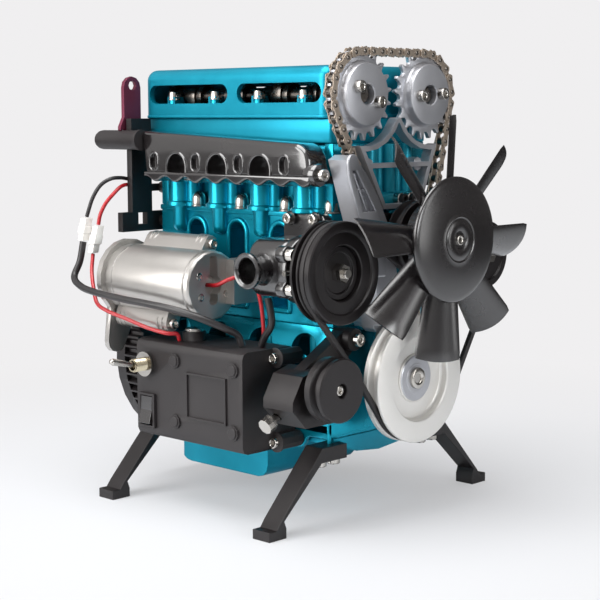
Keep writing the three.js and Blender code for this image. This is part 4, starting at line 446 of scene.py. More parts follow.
def joined(*shells):
    """Several shells as one: the points are stacked and the faces count on."""
    points, faces, start = [], [], 0
    for shell_points, shell_faces in shells:
        points.append(shell_points)
        faces += [[corner + start for corner in face] for face in shell_faces]
        start += len(shell_points)
    return np.vstack(points), faces


# %% [markdown]
# Round parts are turned, like on a lathe: a profile of radius and height is carried round an axis. Most
# axes here are a shaft along the engine or an upright pillar, so these two get makers of their own.


# %% Turned shells
def axis_basis(axis):
    """Two unit vectors square to an axis, which with it make a right-handed set."""
    axis = np.asarray(axis, float) / np.linalg.norm(axis)
    side = np.cross(axis, [0, 0, 1]) if abs(axis[2]) < 0.9 else np.cross(axis, [0, 1, 0])
    side /= np.linalg.norm(side)
    return side, np.cross(axis, side), axis


def turned(profile, foot, axis, count=48, ripple=None):
    """A profile of (radius, height) rows turned about an axis through the foot point.

    The radius may be multiplied by a ripple, a function of the row number and the angle."""
    side, over, along = axis_basis(axis)
    angle = np.arange(count) * 2 * np.pi / count
    ring = np.cos(angle)[:, None] * side + np.sin(angle)[:, None] * over
    profile = np.asarray(profile, float)
    radius = profile[:, 0][:, None] * np.ones(count)
    if ripple is not None:
        radius = radius * ripple(np.arange(len(profile))[:, None], angle[None, :])
    points = np.asarray(foot, float) + radius[..., None] * ring + profile[:, 1][:, None, None] * along
    return grid_shell(points)


def wheel(profile, place, count):
    """A profile turned about a shaft along Y at a place (x, z)."""
    return turned(profile, (place[0], 0, place[1]), ALONG, count)


def pillar(profile, x, y, count):
    """A profile turned about the upright line through (x, y)."""
    return turned(profile, (x, y, 0), UP, count)


def bar(radius, low, high):
    """The profile of a plain round bar: out to the radius at low, up to high and back in."""
    return [(0, low), (radius, low), (radius, high), (0, high)]


# %% [markdown]
# Wires, ribs and beads are tubes along a path. A curve through a few measured points gives the path. A
# tube needs frames that don't twist, so each ring's side vector is carried on from the ring before.


# %% Tubes
def swept(path, radius, sides=12):
    """A round tube along a path of points: each ring is carried square to the path without twisting."""
    path = np.asarray(path, float)
    ways = np.gradient(path, axis=0)
    ways /= np.linalg.norm(ways, axis=1)[:, None]
    side = axis_basis(ways[0])[0]
    sides_along = []
    for way in ways:
        side = side - way * side.dot(way)
        side /= np.linalg.norm(side)
        sides_along.append(side)
    sides_along = np.array(sides_along)
    over = np.cross(ways, sides_along)
    angle = np.arange(sides) * 2 * np.pi / sides
    ring = np.cos(angle)[None, :, None] * sides_along[:, None] + np.sin(angle)[None, :, None] * over[:, None]
    return grid_shell(path[:, None] + radius * ring, caps=True)


def smooth_path(points, steps=10):
    """A centripetal Catmull-Rom curve through the points, several steps to each span."""
    points = np.asarray(points, float)
    padded = np.vstack([2 * points[0] - points[1], points, 2 * points[-1] - points[-2]])
    knots = np.concatenate([[0], np.cumsum(np.linalg.norm(np.diff(padded, axis=0), axis=1) ** 0.5)])
    spans = []
    for k in range(1, len(padded) - 2):
        t0, t1, t2, t3 = knots[k - 1 : k + 3]
        p0, p1, p2, p3 = padded[k - 1 : k + 3]
        t = np.linspace(t1, t2, steps, endpoint=False)[:, None]
        a1, a2, a3 = (((tb - t) * pa + (t - ta) * pb) / (tb - ta) for ta, tb, pa, pb in
                      [(t0, t1, p0, p1), (t1, t2, p1, p2), (t2, t3, p2, p3)])
        b1 = ((t2 - t) * a1 + (t - t0) * a2) / (t2 - t0)
        b2 = ((t3 - t) * a2 + (t - t1) * a3) / (t3 - t1)
        spans.append(((t2 - t) * b1 + (t - t1) * b2) / (t2 - t1))
    return np.vstack([*spans, points[-1:]])


# %% [markdown]
# Flat parts are outlines given a thickness. An outline is an array of points (u, v) in the plane of the
# part, drawn from arcs and corners.


# %% Outlines
def arc(u, v, radius, start, end, count=12):
    """Points on a circle about (u, v) from one angle in degrees to another."""
    angle = np.radians(np.linspace(start, end, count))
    return np.stack([u + radius * np.cos(angle), v + radius * np.sin(angle)], -1)


def rounded_box(u0, u1, v0, v1, radius, count=6):
    """A rectangle whose corners are quarter circles."""
    corners = [(u1 - radius, v0 + radius, -90), (u1 - radius, v1 - radius, 0), (u0 + radius, v1 - radius, 90),
               (u0 + radius, v0 + radius, 180)]
    return np.vstack([arc(u, v, radius, start, start + 90, count) for u, v, start in corners])


def offset(outline, amount):
    """An outline moved outwards by an amount, each corner along the mitre of its two edges."""
    edge = np.roll(outline, -1, 0) - outline
    edge /= np.maximum(np.linalg.norm(edge, axis=1), 1e-9)[:, None]
    normal = np.stack([edge[:, 1], -edge[:, 0]], -1)
    before = np.roll(normal, 1, 0)
    share = 1 + (normal * before).sum(1)
    return outline + amount * (normal + before) / np.maximum(share, 0.25)[:, None]


# %% [markdown]
# A plate's edges catch light only if they are rounded. Rounding could be left to a modifier, but drawing
# the outline a few more times, each a little smaller, gives a clean quarter round and knows where the
# holes are.

# %% Plates
PLANES = {"x": ([0, 1, 0], [0, 0, 1], [1, 0, 0]), "y": ([1, 0, 0], [0, 0, 1], [0, -1, 0]),
          "z": ([1, 0, 0], [0, 1, 0], [0, 0, 1])}


def signed_area(outline):
    """Half the sum of the cross products of neighbours: positive when drawn counter-clockwise."""
    after = np.roll(outline, -1, 0)
    return 0.5 * (outline[:, 0] * after[:, 1] - outline[:, 1] * after[:, 0]).sum()


def plate(outline, low, high, facing="x", edge=0.3, holes=(), steps=2, low_edge=None):
    """A flat plate between two heights on an axis, with rounded edges and holes.

    Each loop is drawn at several levels; near a face it shrinks by edge times one minus the cosine
    of a quarter turn, so that the edge is a small quarter round. The faces are filled with triangles."""
    low, high = sorted((low, high))
    across, upwards, outwards = (np.array(v, float) for v in PLANES[facing])
    loops = [np.asarray(outline, float)] + [np.asarray(hole, float) for hole in holes]
    loops = [loop if (signed_area(loop) > 0) == (k == 0) else loop[::-1] for k, loop in enumerate(loops)]
    bend = np.linspace(0, np.pi / 2, steps + 1)
    under = edge if low_edge is None else low_edge
    levels = [(low + under * (1 - np.sin(b)), under * (1 - np.cos(b))) for b in bend[::-1]]
    levels += [(high - edge * (1 - np.sin(b)), edge * (1 - np.cos(b))) for b in bend]
    if facing == "y":
        levels = [(-height, inset) for height, inset in levels[::-1]]
    heights, insets = zip(*levels)
    shells, ends = [], []
    for loop in loops:
        rows = np.stack([offset(loop, -inset) for inset in insets])
        flat = rows[..., :1] * across + rows[..., 1:] * upwards
        shells.append(grid_shell(flat + np.array(heights)[:, None, None] * outwards))
        ends.append((rows[0], rows[-1]))
    points, faces = joined(*shells)
    starts = np.cumsum([0] + [len(shell[0]) for shell in shells])
    for row in (0, -1):
        flat = [pair[row] for pair in ends]
        corners = np.vstack(flat)
        firsts = starts[:-1] if row == 0 else starts[1:] - [len(loop) for loop in flat]
        number = np.concatenate([first + np.arange(len(loop)) for first, loop in zip(firsts, flat)])
        for a, b, c in tessellate_polygon([[Vector((*point, 0)) for point in loop] for loop in flat]):
            first, second = corners[b] - corners[a], corners[c] - corners[a]
            way = first[0] * second[1] - first[1] * second[0]
            if abs(way) > 1e-12:
                faces.append(number[[a, b, c] if (way > 0) == (row == -1) else [a, c, b]].tolist())
    return points, faces


# %% [markdown]
# A piece is a shell, or a list of them, made into an object. Its points are given in millimetres. Seams
# and poles are merged, and only edges sharper than an angle stay sharp. Every edge could be smoothed, but
# then flat faces would look dented. A piece rides on the body that moves it, and hides the CAD node that
# it stands for.

# %% Pieces
MERGE, CUT_SHARP = 1e-7, 38


def shell_mesh(name, shells):
    """A mesh from shells in bench millimetres, with its seams merged and its faces turned outwards."""
    points, faces = joined(*shells) if isinstance(shells, list) else shells
    mesh = bpy.data.meshes.new(name)
    mesh.from_pydata(metres(points).tolist(), [], faces)
    work = bmesh.new()
    work.from_mesh(mesh)
    bmesh.ops.remove_doubles(work, verts=work.verts, dist=MERGE)
    bmesh.ops.recalc_face_normals(work, faces=work.faces)
    work.to_mesh(mesh)
    work.free()
    return mesh


def finished(mesh, finish, sharp):
    """One finish on a mesh, shaded smooth except along edges sharper than an angle."""
    mesh.materials.clear()
    mesh.materials.append(finish)
    mesh.shade_smooth()
    mesh.set_sharp_from_angle(angle=np.radians(sharp))
    print(f"{mesh.name}: {len(mesh.vertices)} points, {finish.name}")


def new_piece(name, shells, finish, replaces=(), body="engine", sharp=35):
    """A Blender object from a shell or a list of shells, which rides on a body."""
    mesh = shell_mesh(name, shells)
    finished(mesh, finish, sharp)
    piece = linked(name, mesh)
    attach(piece, body)
    if replaces:
        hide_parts(*replaces)
    return piece


# %% [markdown]
# Windows and bores can't be drawn as grids, so these pieces are cut. A live boolean would be worked out
# again for every frame, so it is applied at once, and the cutters are removed. A bevel then gives the
# new edges the small round that real castings have after finishing.


# %% Cut pieces
def rounded_edges(piece, edge, segments=2):
    """A bevel on every edge sharper than the angle for cut pieces, its width in millimetres."""
    rounding = piece.modifiers.new("edge", "BEVEL")
    rounding.width, rounding.segments, rounding.limit_method = edge * MM, segments, "ANGLE"
    rounding.angle_limit, rounding.use_clamp_overlap = np.radians(CUT_SHARP), True
    rounding.harden_normals = True


def carved(name, shells, cutters, finish, replaces=(), edge=0.3, segments=2):
    """A shell less its cutters, by an exact boolean worked out at once; then its edges are rounded."""
    piece = new_piece(name, shells, finish, replaces, sharp=CUT_SHARP)
    labels = [f"{name}_cutter_{k}" for k in range(len(cutters))]
    tools = [linked(label, shell_mesh(label, cutter)) for label, cutter in zip(labels, cutters)]
    for tool in tools:
        modifier = piece.modifiers.new("cut", "BOOLEAN")
        modifier.operation, modifier.object, modifier.solver = "DIFFERENCE", tool, "EXACT"
    bpy.context.view_layer.update()
    result = bpy.data.meshes.new_from_object(piece.evaluated_get(bpy.context.evaluated_depsgraph_get()))
    piece.modifiers.clear()
    old, piece.data = piece.data, result
    bpy.data.meshes.remove(old)
    for tool in tools:
        tool_mesh = tool.data
        bpy.data.objects.remove(tool)
        bpy.data.meshes.remove(tool_mesh)
    result.name = name
    finished(result, finish, CUT_SHARP)
    if edge:
        rounded_edges(piece, edge, segments)
    return piece


# %% [markdown]
# Some pieces are right in the CAD model already. Its meshes are loose triangles, so a copy is merged and
# its flat faces are joined first. Otherwise the bevel would round the lines between triangles as well.


# %% Pieces that keep their solid
def dressed(node, finish, edge):
    """A CAD node's own solid as a new piece: merged, flat faces joined, its edges rounded."""
    source = frame["nodes"][node]
    mesh = source.data.copy()
    work = bmesh.new()
    work.from_mesh(mesh)
    bmesh.ops.remove_doubles(work, verts=work.verts, dist=1e-6)
    bmesh.ops.dissolve_limit(work, angle_limit=np.radians(1), verts=work.verts, edges=work.edges)
    work.to_mesh(mesh)
    work.free()
    piece = linked(node + "_skin", mesh)
    finished(mesh, finish, CUT_SHARP)
    if edge:
        rounded_edges(piece, edge)
    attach(piece, body_of(source)[0])
    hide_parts(node)
    return piece


# %% [markdown]
# ## Leads
#
# The leads are the loose part of the model. Each is a round tube along a smooth curve through measured
# points. Two loops come out from behind the rear bracket and end in white connectors; from there a thick
# black sleeve and a red wire run below the motor and back into the battery box. A few points, measured
# where each lead bends, are enough, because the curve between them is smooth, like a wire's own.

# %% Routes
black_top, black_foot, red_top, red_foot = [
    (-61, 81.5, 127.1), (-63.3, 81.5, 116.8), (-57.8, 77, 123.4), (-61.3, 77, 111.1)]
routes = {
    "loop_lead_black": [
        (-37.5, 73, 144.4), (-42.5, 73.2, 144.9), (-48, 72.6, 145.6), (-53, 73.4, 145.2),
        (-56.8, 75.6, 142.6), (-59.2, 78.6, 137), (-61, 81.5, 127.7)],
    "loop_lead_red": [
        (-37.5, 72.9, 141.2), (-42.5, 73.1, 142.2), (-47.5, 72.3, 141.6), (-51.6, 72.6, 138.6),
        (-55.2, 74.6, 133.8), (-57.2, 76.2, 128.6), (-57.8, 77, 124)],
    "black_lead": [
        (-63.3, 81.5, 116.2), (-65, 82.2, 107), (-68.5, 82, 100.5), (-74, 70, 97), (-75.8, 58, 95.5),
        (-75.5, 40, 94), (-74.5, 22, 93), (-72, 8, 91.5), (-67.5, -3, 88.5), (-60, -10, 84),
        (-54.5, -13, 80.5), (-53, -14, 76)],
    "red_lead": [
        (-61.3, 77, 110.5), (-64.5, 74, 103), (-68, 68.5, 96), (-71.8, 61, 89.5), (-72, 54, 87),
        (-70, 42, 84), (-68, 30, 81), (-65.8, 20, 79.4), (-62, 17.8, 78.8), (-60.5, 18, 76)],
    "motor_lead": [
        (-55.5, 5.4, 101), (-55.2, -1, 101.5), (-53, -6, 104), (-49, -11, 105.5), (-46, -15, 102),
        (-44.5, -17, 94), (-44, -18, 84), (-44, -18, 76)],
}
print("routes:", len(routes))

# %% [markdown]
# A connector half is a moulded square tube with a step and a latch. A rounded square is a circle whose
# radius is divided by a power of the larger of sine and cosine, so the half can still be one grid.


# %% Connectors
def connector_body(top, foot):
    """A white nylon connector along its own leaning axis: a square body with a step and a latch.

    Each ring is a rounded square; along the axis its half width changes at the step and the mouth."""
    along = np.subtract(top, foot)
    angle = np.linspace(0, 2 * np.pi, 24, endpoint=False)
    round_about = np.stack([np.cos(angle), np.sin(angle), 0 * angle], -1)
    squared = 1 / np.maximum(np.abs(np.cos(angle)), np.abs(np.sin(angle))) ** 0.8
    rows = [(0, 0.0), (1.7, 0.0), (1.9, 0.02), (1.9, 0.3), (2.4, 0.34), (2.45, 0.62), (2.1, 0.66),
            (2.1, 0.97), (1.9, 1.0), (0, 1.0)]
    points = [np.asarray(foot) + share * along + half * squared[:, None] * round_about
              for half, share in rows]
    latch = plate([(-0.9, -3.2), (0.9, -3.2), (0.9, 3.2), (-0.9, 3.2)], 2.1, 3.0, "y", 0.25)
    latch = (latch[0] + (np.asarray(top) + foot) / 2, latch[1])
    return joined(grid_shell(np.stack(points)), latch)


black_plug, red_plug = (
    new_piece(f"connector_{color}_side", connector_body(top, foot), white_nylon, ["connector"], sharp=40)
    for color, top, foot in (("black", black_top, black_foot), ("red", red_top, red_foot)))

# %% [markdown]
# Each lead is a round tube along its smooth curve. The hose at the pump, held at both ends, is a tube of
# the same kind.


# %% Cords
def lead(node, radius, finish):
    """A lead along its route: a round tube along the smooth curve through its points, in place of the CAD
    lead.
    """
    path = smooth_path(routes[node])
    piece = new_piece(node + "_skin", swept(path, radius, 14), finish, [node], sharp=60)
    metres(path[0])
    metres(path).tolist()


lead("loop_lead_black", 0.9, black_sleeve)
lead("loop_lead_red", 0.9, red_sleeve)
lead("black_lead", 1.6, black_sleeve)
lead("red_lead", 0.9, red_sleeve)
lead("motor_lead", 0.9, red_sleeve)
hose = smooth_path([
    (-50, -27, 97.5), (-49.5, -28, 92), (-49, -28, 86), (-48.5, -23.5, 80.5), (-48.3, -21, 76.2)])
new_piece("pump_hose_skin", swept(hose, 1.6, 14), black_sleeve, ["pump_hose"], sharp=60)

# %% [markdown]
# ## Screws
#
# Socket head cap screws hold the real model together, so one maker serves them all. Its head is a grid
# in which each row is a ring. The inner rows follow a hexagon instead of a circle, which is the circle's
# radius divided by the cosine of the angle from the nearest flat's middle.


# %% Screw makers
def hexed(angle, spin):
    """The factor on a radius that makes a circle a hexagon: one at its corners, least at its flats."""
    return np.cos(np.pi / 6) / np.cos(np.mod(angle + spin, np.pi / 3) - np.pi / 6)


def cap_screw(seat, axis, radius, height, socket=0.5, shank=0.0, spin=0.3, knurl=0.0):
    """A socket head cap screw that sits on its seat point and points its head along the axis.

    Rows go up the side, over a rounded rim, and down a six-sided socket."""
    rim, well = radius * 0.16, height * 0.55
    rows = [(0, -shank or -0.1), (radius * 0.55, -shank or -0.1), (radius * 0.55, 0), (radius, 0),
            (radius, height - rim), (radius - rim * 0.3, height - rim * 0.3), (radius - rim, height),
            (radius * socket * 1.28, height), (radius * socket * 1.12, height - rim * 0.6),
            (radius * socket, height - rim * 0.8), (radius * socket, height - well), (0, height - well)]

    def ripple(row, angle):
        ridged = 1 + knurl * np.cos(24 * angle)
        return np.where(row >= 9, hexed(angle, spin), np.where((row == 3) | (row == 4), ridged, 1))

    return turned(rows, seat, axis, 48 if knurl else 24, ripple)


def hex_nut(seat, axis, across, height, spin=0.0):
    """A six-sided nut or bolt head: the rim is chamfered by letting the top ring be rounder."""
    radius = across / 2 / np.cos(np.pi / 6)
    rows = [(0, 0), (radius, 0), (radius, height * 0.78), (radius * 0.93, height), (0, height)]

    def ripple(row, angle):
        six = hexed(angle, spin)
        return np.where((row == 1) | (row == 2), six, np.where(row == 3, np.minimum(six, 1), 1))

    return turned(rows, seat, axis, 36, ripple)


def countersunk(seat, axis, radius):
    """A flat screw head with a socket: a shallow dish inside a bright rim."""
    rows = [(0, -0.3), (radius, -0.3), (radius, 0.1), (radius * 0.9, 0.2), (radius * 0.5, 0.2),
            (radius * 0.42, -0.5), (0, -0.5)]
    return turned(rows, seat, axis, 24)


# %% [markdown]
# ## Loops
#
# The belt and the chain both run over wheels in one upright plane. Between two wheels the run is their
# common tangent. Its angle follows from the centres and the difference of the signed radii, and each
# wheel is wrapped from the angle at which the loop arrives to the angle at which it leaves.


# %% The loop solver
def loop(wheels):
    """Runs and wraps of a loop over wheels, each (x, z, radius, turn); turn is 1 inside, -1 outside."""
    parts, angles, lengths = [], [], []
    for a, b in zip(wheels, wheels[1:] + wheels[:1]):
        dx, dz, shift = b[0] - a[0], b[1] - a[1], a[3] * a[2] - b[3] * b[2]
        length = np.sqrt(dx * dx + dz * dz - shift * shift)
        angles.append(np.arctan2(dz, dx) + np.arctan2(shift, length))
        lengths.append(length)
    for k, (x, z, radius, side) in enumerate(wheels):
        sweep = np.mod((angles[k] - angles[k - 1]) * side, 2 * np.pi)
        parts += [(x, z, radius, side, angles[k - 1], sweep * radius, False),
                  (x, z, radius, side, angles[k], lengths[k], True)]
    return parts


def loop_length(parts):
    """The length of all runs and wraps together."""
    return sum(part[5] for part in parts)


def along_loop(parts, distance):
    """Places (x, z) and headings at distances round the loop: the heading turns only on a wrap."""
    ends = np.cumsum([part[5] for part in parts])
    distance = np.mod(distance, ends[-1])
    number = np.minimum(np.searchsorted(ends, distance, side="right"), len(parts) - 1)
    x, z, radius, side, start, length, straight = (np.array(column)[number] for column in zip(*parts))
    into = distance - (ends[number] - length)
    heading = np.where(straight, start, start + side * into / radius)
    x = x + side * radius * np.sin(heading) + np.where(straight, into * np.cos(heading), 0)
    z = z - side * radius * np.cos(heading) + np.where(straight, into * np.sin(heading), 0)
    return x, z, heading


# %% [markdown]
# ## Drive belt
#
# A plain black rubber belt, square in section with softened corners. The pump and the alternator stand
# inside the loop. The fan's wheel and the idler press on its back from outside.


# %% Belt
def banded(parts, count, section):
    """A closed band round a loop: a section of (outward, y) rows carried square to the loop's heading."""
    distance = np.arange(count) * loop_length(parts) / count
    x, z, heading = (value[:, None] for value in along_loop(parts, distance))
    out, y = section[None, :, 0], section[None, :, 1]
    points = [x + out * np.sin(heading), np.broadcast_to(y, (count, len(section))), z - out * np.cos(heading)]
    return grid_shell(np.stack(points, -1), wrap_rows=True)


BELT_SEAT, BELT_HALF = 1.5, 1.15
belt_loop = loop([(*place, radius + BELT_SEAT, side) for place, radius, side in (
    (CRANK, 25, 1), (ALTERNATOR, 12.2, 1), (FAN, 13, -1), (PUMP, 18.2, 1), (IDLER, 11, -1))])
belt_section = rounded_box(-BELT_HALF, BELT_HALF, BELT_Y - BELT_HALF, BELT_Y + BELT_HALF, 0.35, 3)
new_piece("belt_skin", banded(belt_loop, 360, belt_section), rubber, ["drive_belt"], sharp=50)

# %% [markdown]
# ## Timing chain
#
# The chain runs over the crank's and both cams' wheels, and its slack run is pressed in by the tensioner,
# which is taken as part of a large circle outside the loop. The chain could be stretched a little to fit,
# but then its pins would miss the teeth. The circle is moved by halving steps instead, until the loop is
# exactly as long as 68 links.

# %% The chain's path
PITCH, CHAIN_Y, LINKS = 5.6, -52.6, 68
GUIDE_HEIGHT, GUIDE_RADIUS = 95.3, 86
CAM_TEETH, CRANK_TEETH = 20, 10
cam_pitch_radius, crank_pitch_radius = (
    PITCH / 2 / np.sin(np.pi / teeth) for teeth in (CAM_TEETH, CRANK_TEETH))


def chain_loop(guide_x):
    """The chain's wheels: crank, two cams, and the pressed-in run as part of a large circle outside."""
    return loop([(*CRANK, crank_pitch_radius, 1), (CAM_X, CAM_Z, cam_pitch_radius, 1),
                 (-CAM_X, CAM_Z, cam_pitch_radius, 1), (guide_x, GUIDE_HEIGHT, GUIDE_RADIUS, -1)])


touching = GUIDE_RADIUS + crank_pitch_radius + 0.3
high = -np.sqrt(touching**2 - (GUIDE_HEIGHT - CRANK_HEIGHT) ** 2)
low = high - 20
for _ in range(40):
    middle = (low + high) / 2
    longer = loop_length(chain_loop(middle)) > LINKS * PITCH
    low, high = (low, middle) if longer else (middle, high)
chain_path = chain_loop((low + high) / 2)
pin_x, pin_z, _ = along_loop(chain_path, np.arange(LINKS) * PITCH)
print("chain length in millimetres:", round(loop_length(chain_path), 2))

# %% [markdown]
# A real roller chain has figure-of-eight plates, outer and inner in turn, with rollers between them and
# pins that stand a little proud. Every link is the same small shell, so one copy is worked out and then
# placed as a whole array, turned to the heading of its own two pins.


# %% Links
def placed_links(template, numbers):
    """A template drawn with its first pin at the origin and its second at +u, placed on chosen pins."""
    points, faces = template
    start = np.stack([pin_x[numbers], pin_z[numbers]], -1)
    way = np.stack([np.roll(pin_x, -1)[numbers], np.roll(pin_z, -1)[numbers]], -1) - start
    way /= np.linalg.norm(way, axis=1)[:, None]
    u, v = points[None, :, 0], points[None, :, 2]
    x = start[:, None, 0] + u * way[:, None, 0] - v * way[:, None, 1]
    z = start[:, None, 1] + u * way[:, None, 1] + v * way[:, None, 0]
    y = np.broadcast_to(points[None, :, 1], x.shape)
    shift = np.arange(len(start)) * len(points)
    all_faces = [[corner + s for corner in face] for s in shift for face in faces]
    return np.stack([x, y, z], -1).reshape(-1, 3), all_faces


def link_plates(radius, waist, near, far):
    """Two figure-of-eight plates at plus and minus a depth: pin circles joined by a waist, a parabola."""
    ends = np.vstack([arc(PITCH, 0, radius, -58, 58, 7), arc(0, 0, radius, 122, 238, 7)])
    across = np.cos(np.radians(58)) * radius
    u = np.linspace(across, PITCH - across, 5)[1:-1]
    share = np.abs(2 * (u - PITCH / 2) / (PITCH - 2 * across))
    v = waist + (np.sin(np.radians(58)) * radius - waist) * share**2
    outline = np.vstack([ends[:7], np.stack([u[::-1], v[::-1]], -1), ends[7:], np.stack([u, -v], -1)])
    return joined(*[plate(outline, CHAIN_Y + a, CHAIN_Y + b, "y", 0.14, steps=1)
                    for a, b in ((-far, -near), (near, far))])


pin = [(0, -2.9), (0.55, -2.87), (0.9, -2.7), (1.0, -2.4), (1.0, 2.4), (0.9, 2.7), (0.55, 2.87), (0, 2.9)]
roller = [(1.6, -1.2), (1.6, 1.2)]
pin_and_roller = joined(*[turned(profile, (0, CHAIN_Y, 0), ALONG, 12) for profile in (pin, roller)])
every = np.arange(LINKS)
for name, template, numbers, finish in [
    ("chain_outer_links", link_plates(2.4, 1.35, 1.9, 2.45), every[::2], chain_steel),
    ("chain_inner_links", link_plates(2.35, 1.3, 1.25, 1.8), every[1::2], chain_steel),
    ("chain_pins", pin_and_roller, every, dark_steel),
]:
    new_piece(name, placed_links(template, numbers), finish, ["timing_chain"], sharp=40)

# %% [markdown]
# ## Cam sprockets
#
# Each cam wheel is a raised disc in front of a toothed ring. A tooth gap is a piece of the roller's own
# circle about the pin, and the flanks rise from it to a short tip. The outline is that one tooth, turned
# round by whole steps from the angle of a chain pin, so teeth and chain mesh.


# %% Sprockets
def sprocket_outline(teeth, pitch_radius, phase, seat=1.75, tip=1.5):
    """One gap and one tooth as polar points about the wheel's axis, repeated for every tooth."""
    step = 2 * np.pi / teeth
    bend = np.radians(np.linspace(-72, 72, 7))
    gap_radius = pitch_radius - seat * np.cos(bend)
    gap_angle = np.arctan2(seat * np.sin(bend), gap_radius)
    tip_angle = step / 2 + np.array([-0.09, 0, 0.09]) * step
    tip_radius = pitch_radius + tip * np.array([0.9, 1, 0.9])
    angle = np.concatenate([gap_angle, tip_angle])
    radius = np.concatenate([np.hypot(gap_radius, seat * np.sin(bend)), tip_radius])
    whole = phase + angle[None, :] + step * np.arange(teeth)[:, None]
    return np.stack([radius * np.cos(whole), radius * np.sin(whole)], -1).reshape(-1, 2)


def pin_phase(x, z):
    """The angle of the chain pin that lies nearest to a wheel's axis."""
    nearest = np.argmin(np.hypot(pin_x - x, pin_z - z))
    return np.arctan2(pin_z[nearest] - z, pin_x[nearest] - x)


def cam_lobes(x):
    """Four cams a quarter turn apart: a base circle that rises by the cube of the cosine from its nose."""
    sweep = np.linspace(0, 2 * np.pi, 48, endpoint=False)
    for number, y in enumerate(-27.8 + 28 * np.arange(4)):
        radius = 4.6 + 2.9 * np.maximum(0, np.cos(sweep - number * np.pi / 2)) ** 3
        outline = np.stack([x + radius * np.cos(sweep), CAM_Z + radius * np.sin(sweep)], -1)
        yield plate(outline, y - 10.5, y - 5.5, "y", 0.3)


WHEEL_FRONT, WHEEL_REAR = -57.4, -49.3
disc = [(4.3, WHEEL_FRONT + 0.35), (4.65, WHEEL_FRONT), (12.4, WHEEL_FRONT), (12.9, WHEEL_FRONT + 0.15),
        (13.2, WHEEL_FRONT + 0.6), (13.2, CHAIN_Y - 2.4), (13.9, CHAIN_Y - 1.3), (14.3, CHAIN_Y - 1.0),
        (14.3, CHAIN_Y + 1.0), (13.2, CHAIN_Y + 1.6), (13.2, WHEEL_REAR), (4.3, WHEEL_REAR),
        (4.3, WHEEL_FRONT + 0.35)]
cam_shaft = [(0, -54.8), (3.3, -54.8), (3.6, -54.5), (3.6, 63.7), (3.3, 64), (0, 64)]
for label, x, screw_angle in [("exhaust", -CAM_X, 153), ("intake", CAM_X, 184)]:
    teeth = sprocket_outline(CAM_TEETH, cam_pitch_radius, pin_phase(x, CAM_Z)) + (x, CAM_Z)
    toothed = plate(teeth, CHAIN_Y - 1.05, CHAIN_Y + 1.05, "y", 0.25, [arc(x, CAM_Z, 12.2, 0, 360, 65)[:-1]])
    body = f"{label}_cam"
    new_piece(f"{label}_cam_wheel", [toothed, wheel(disc, (x, CAM_Z), 96)], silver, [f"{label}_sprocket"],
              body)
    heads = [cap_screw((x + 7.1 * np.cos(a), WHEEL_FRONT, CAM_Z + 7.1 * np.sin(a)), FRONT, 2.6, 2.8,
                       shank=1, spin=a) for a in np.radians([screw_angle, screw_angle + 180])]
    new_piece(f"{label}_cam_screws", heads, steel, body=body)
    new_piece(f"{label}_cam_shaft", [wheel(cam_shaft, (x, CAM_Z), 32), *cam_lobes(x)], dark_steel,
              [f"{label}_camshaft"], body)

# %% [markdown]
# ## Pulleys
#
# A pulley is a profile of radius and height turned about its shaft. The front faces carry the lathe's
# fine rings, which the "turned rings" group draws about the same axis. The crank's pulley is the widest
# one, of bright metal with a boss and a large screw.


# %% Crank pulley
def vee(radius, root, half):
    """Four profile rows of a V-shaped groove about the belt's middle: rim, root, root, rim."""
    return [(radius, BELT_Y - half), (root, BELT_Y - half * 0.45), (root, BELT_Y + half * 0.45),
            (radius, BELT_Y + half)]


crank_profile = [
    (0, -66.4), (5.2, -66.4), (5.2, -66.9), (10.2, -66.9), (10.6, -66.6), (10.6, -66.1), (11.1, -66.05),
    (17.4, -66.05), (17.8, -66.3), (18.2, -66.9), (18.4, -69.2), (18.9, -69.65), (27.3, -69.7),
    (27.7, -69.55), (27.9, -69.2), *vee(27.9, 25.1, 2.5), (27.9, -61.6), (27.6, -61.3), (12, -61.3),
    (12, -62.5), (4.6, -62.5), (4.6, -61.4)]
crank_boss = [(0, -67.3), (5.3, -67.3), (5.5, -67.45), (6.3, -67.45), (6.5, -67.3), (9.5, -67.3),
              (10.0, -67.0), (10.0, -66.0), (0, -66.0)]
new_piece("crank_pulley_skin", wheel(crank_profile, CRANK, 160), turned_silver, ["crank_pulley"], "crank", 28)
new_piece("crank_boss", wheel(crank_boss, CRANK, 96), silver, body="crank", sharp=30)
new_piece("crank_screw", cap_screw((0, -67.3, CRANK_HEIGHT), FRONT, 4.7, 1.5), steel, body="crank", sharp=30)

# %% [markdown]
# The pump's pulley is black with two steps in its face. A hexagon nut and the shaft's end hold it. The
# steps could be discs stacked on a cylinder. As rows of one profile they share their edges, so no seam
# shows where they meet.

# %% Pump pulley
px, pz = PUMP
pump_profile = [
    (0, -66.5), (8.2, -66.5), (8.5, -66.8), (8.5, -67.3), (8.8, -67.5), (10.7, -67.5), (11.0, -67.2),
    (11.2, -66.6), (11.4, -69.2), (11.8, -69.5), (16.6, -69.5), (16.9, -69.8), (17.1, -70.3), (17.5, -70.5),
    (20.7, -70.5), (21.1, -70.1), *vee(21.1, 18.4, 1.9), (21.1, -63.4), (18.4, -62.9), (18.4, -61.6),
    (21.1, -61.1), (21.1, -60.0), (20.8, -59.8), (5, -59.8), (2.5, -59.8), (2.5, -54.2), (0, -54.2)]
new_piece("pump_pulley_skin", wheel(pump_profile, PUMP, 128), black_turned, ["pump_pulley"], "pump_rotor", 28)
shaft_end = turned([(0, 0), (2.1, 0), (2.1, 1.5), (1.8, 1.8), (0, 1.8)], (px, -70.7, pz), FRONT, 24)
new_piece("pump_nut", [hex_nut((px, -66.5, pz), FRONT, 7, 4.2, 0.35), shaft_end], steel, body="pump_rotor",
          sharp=28)

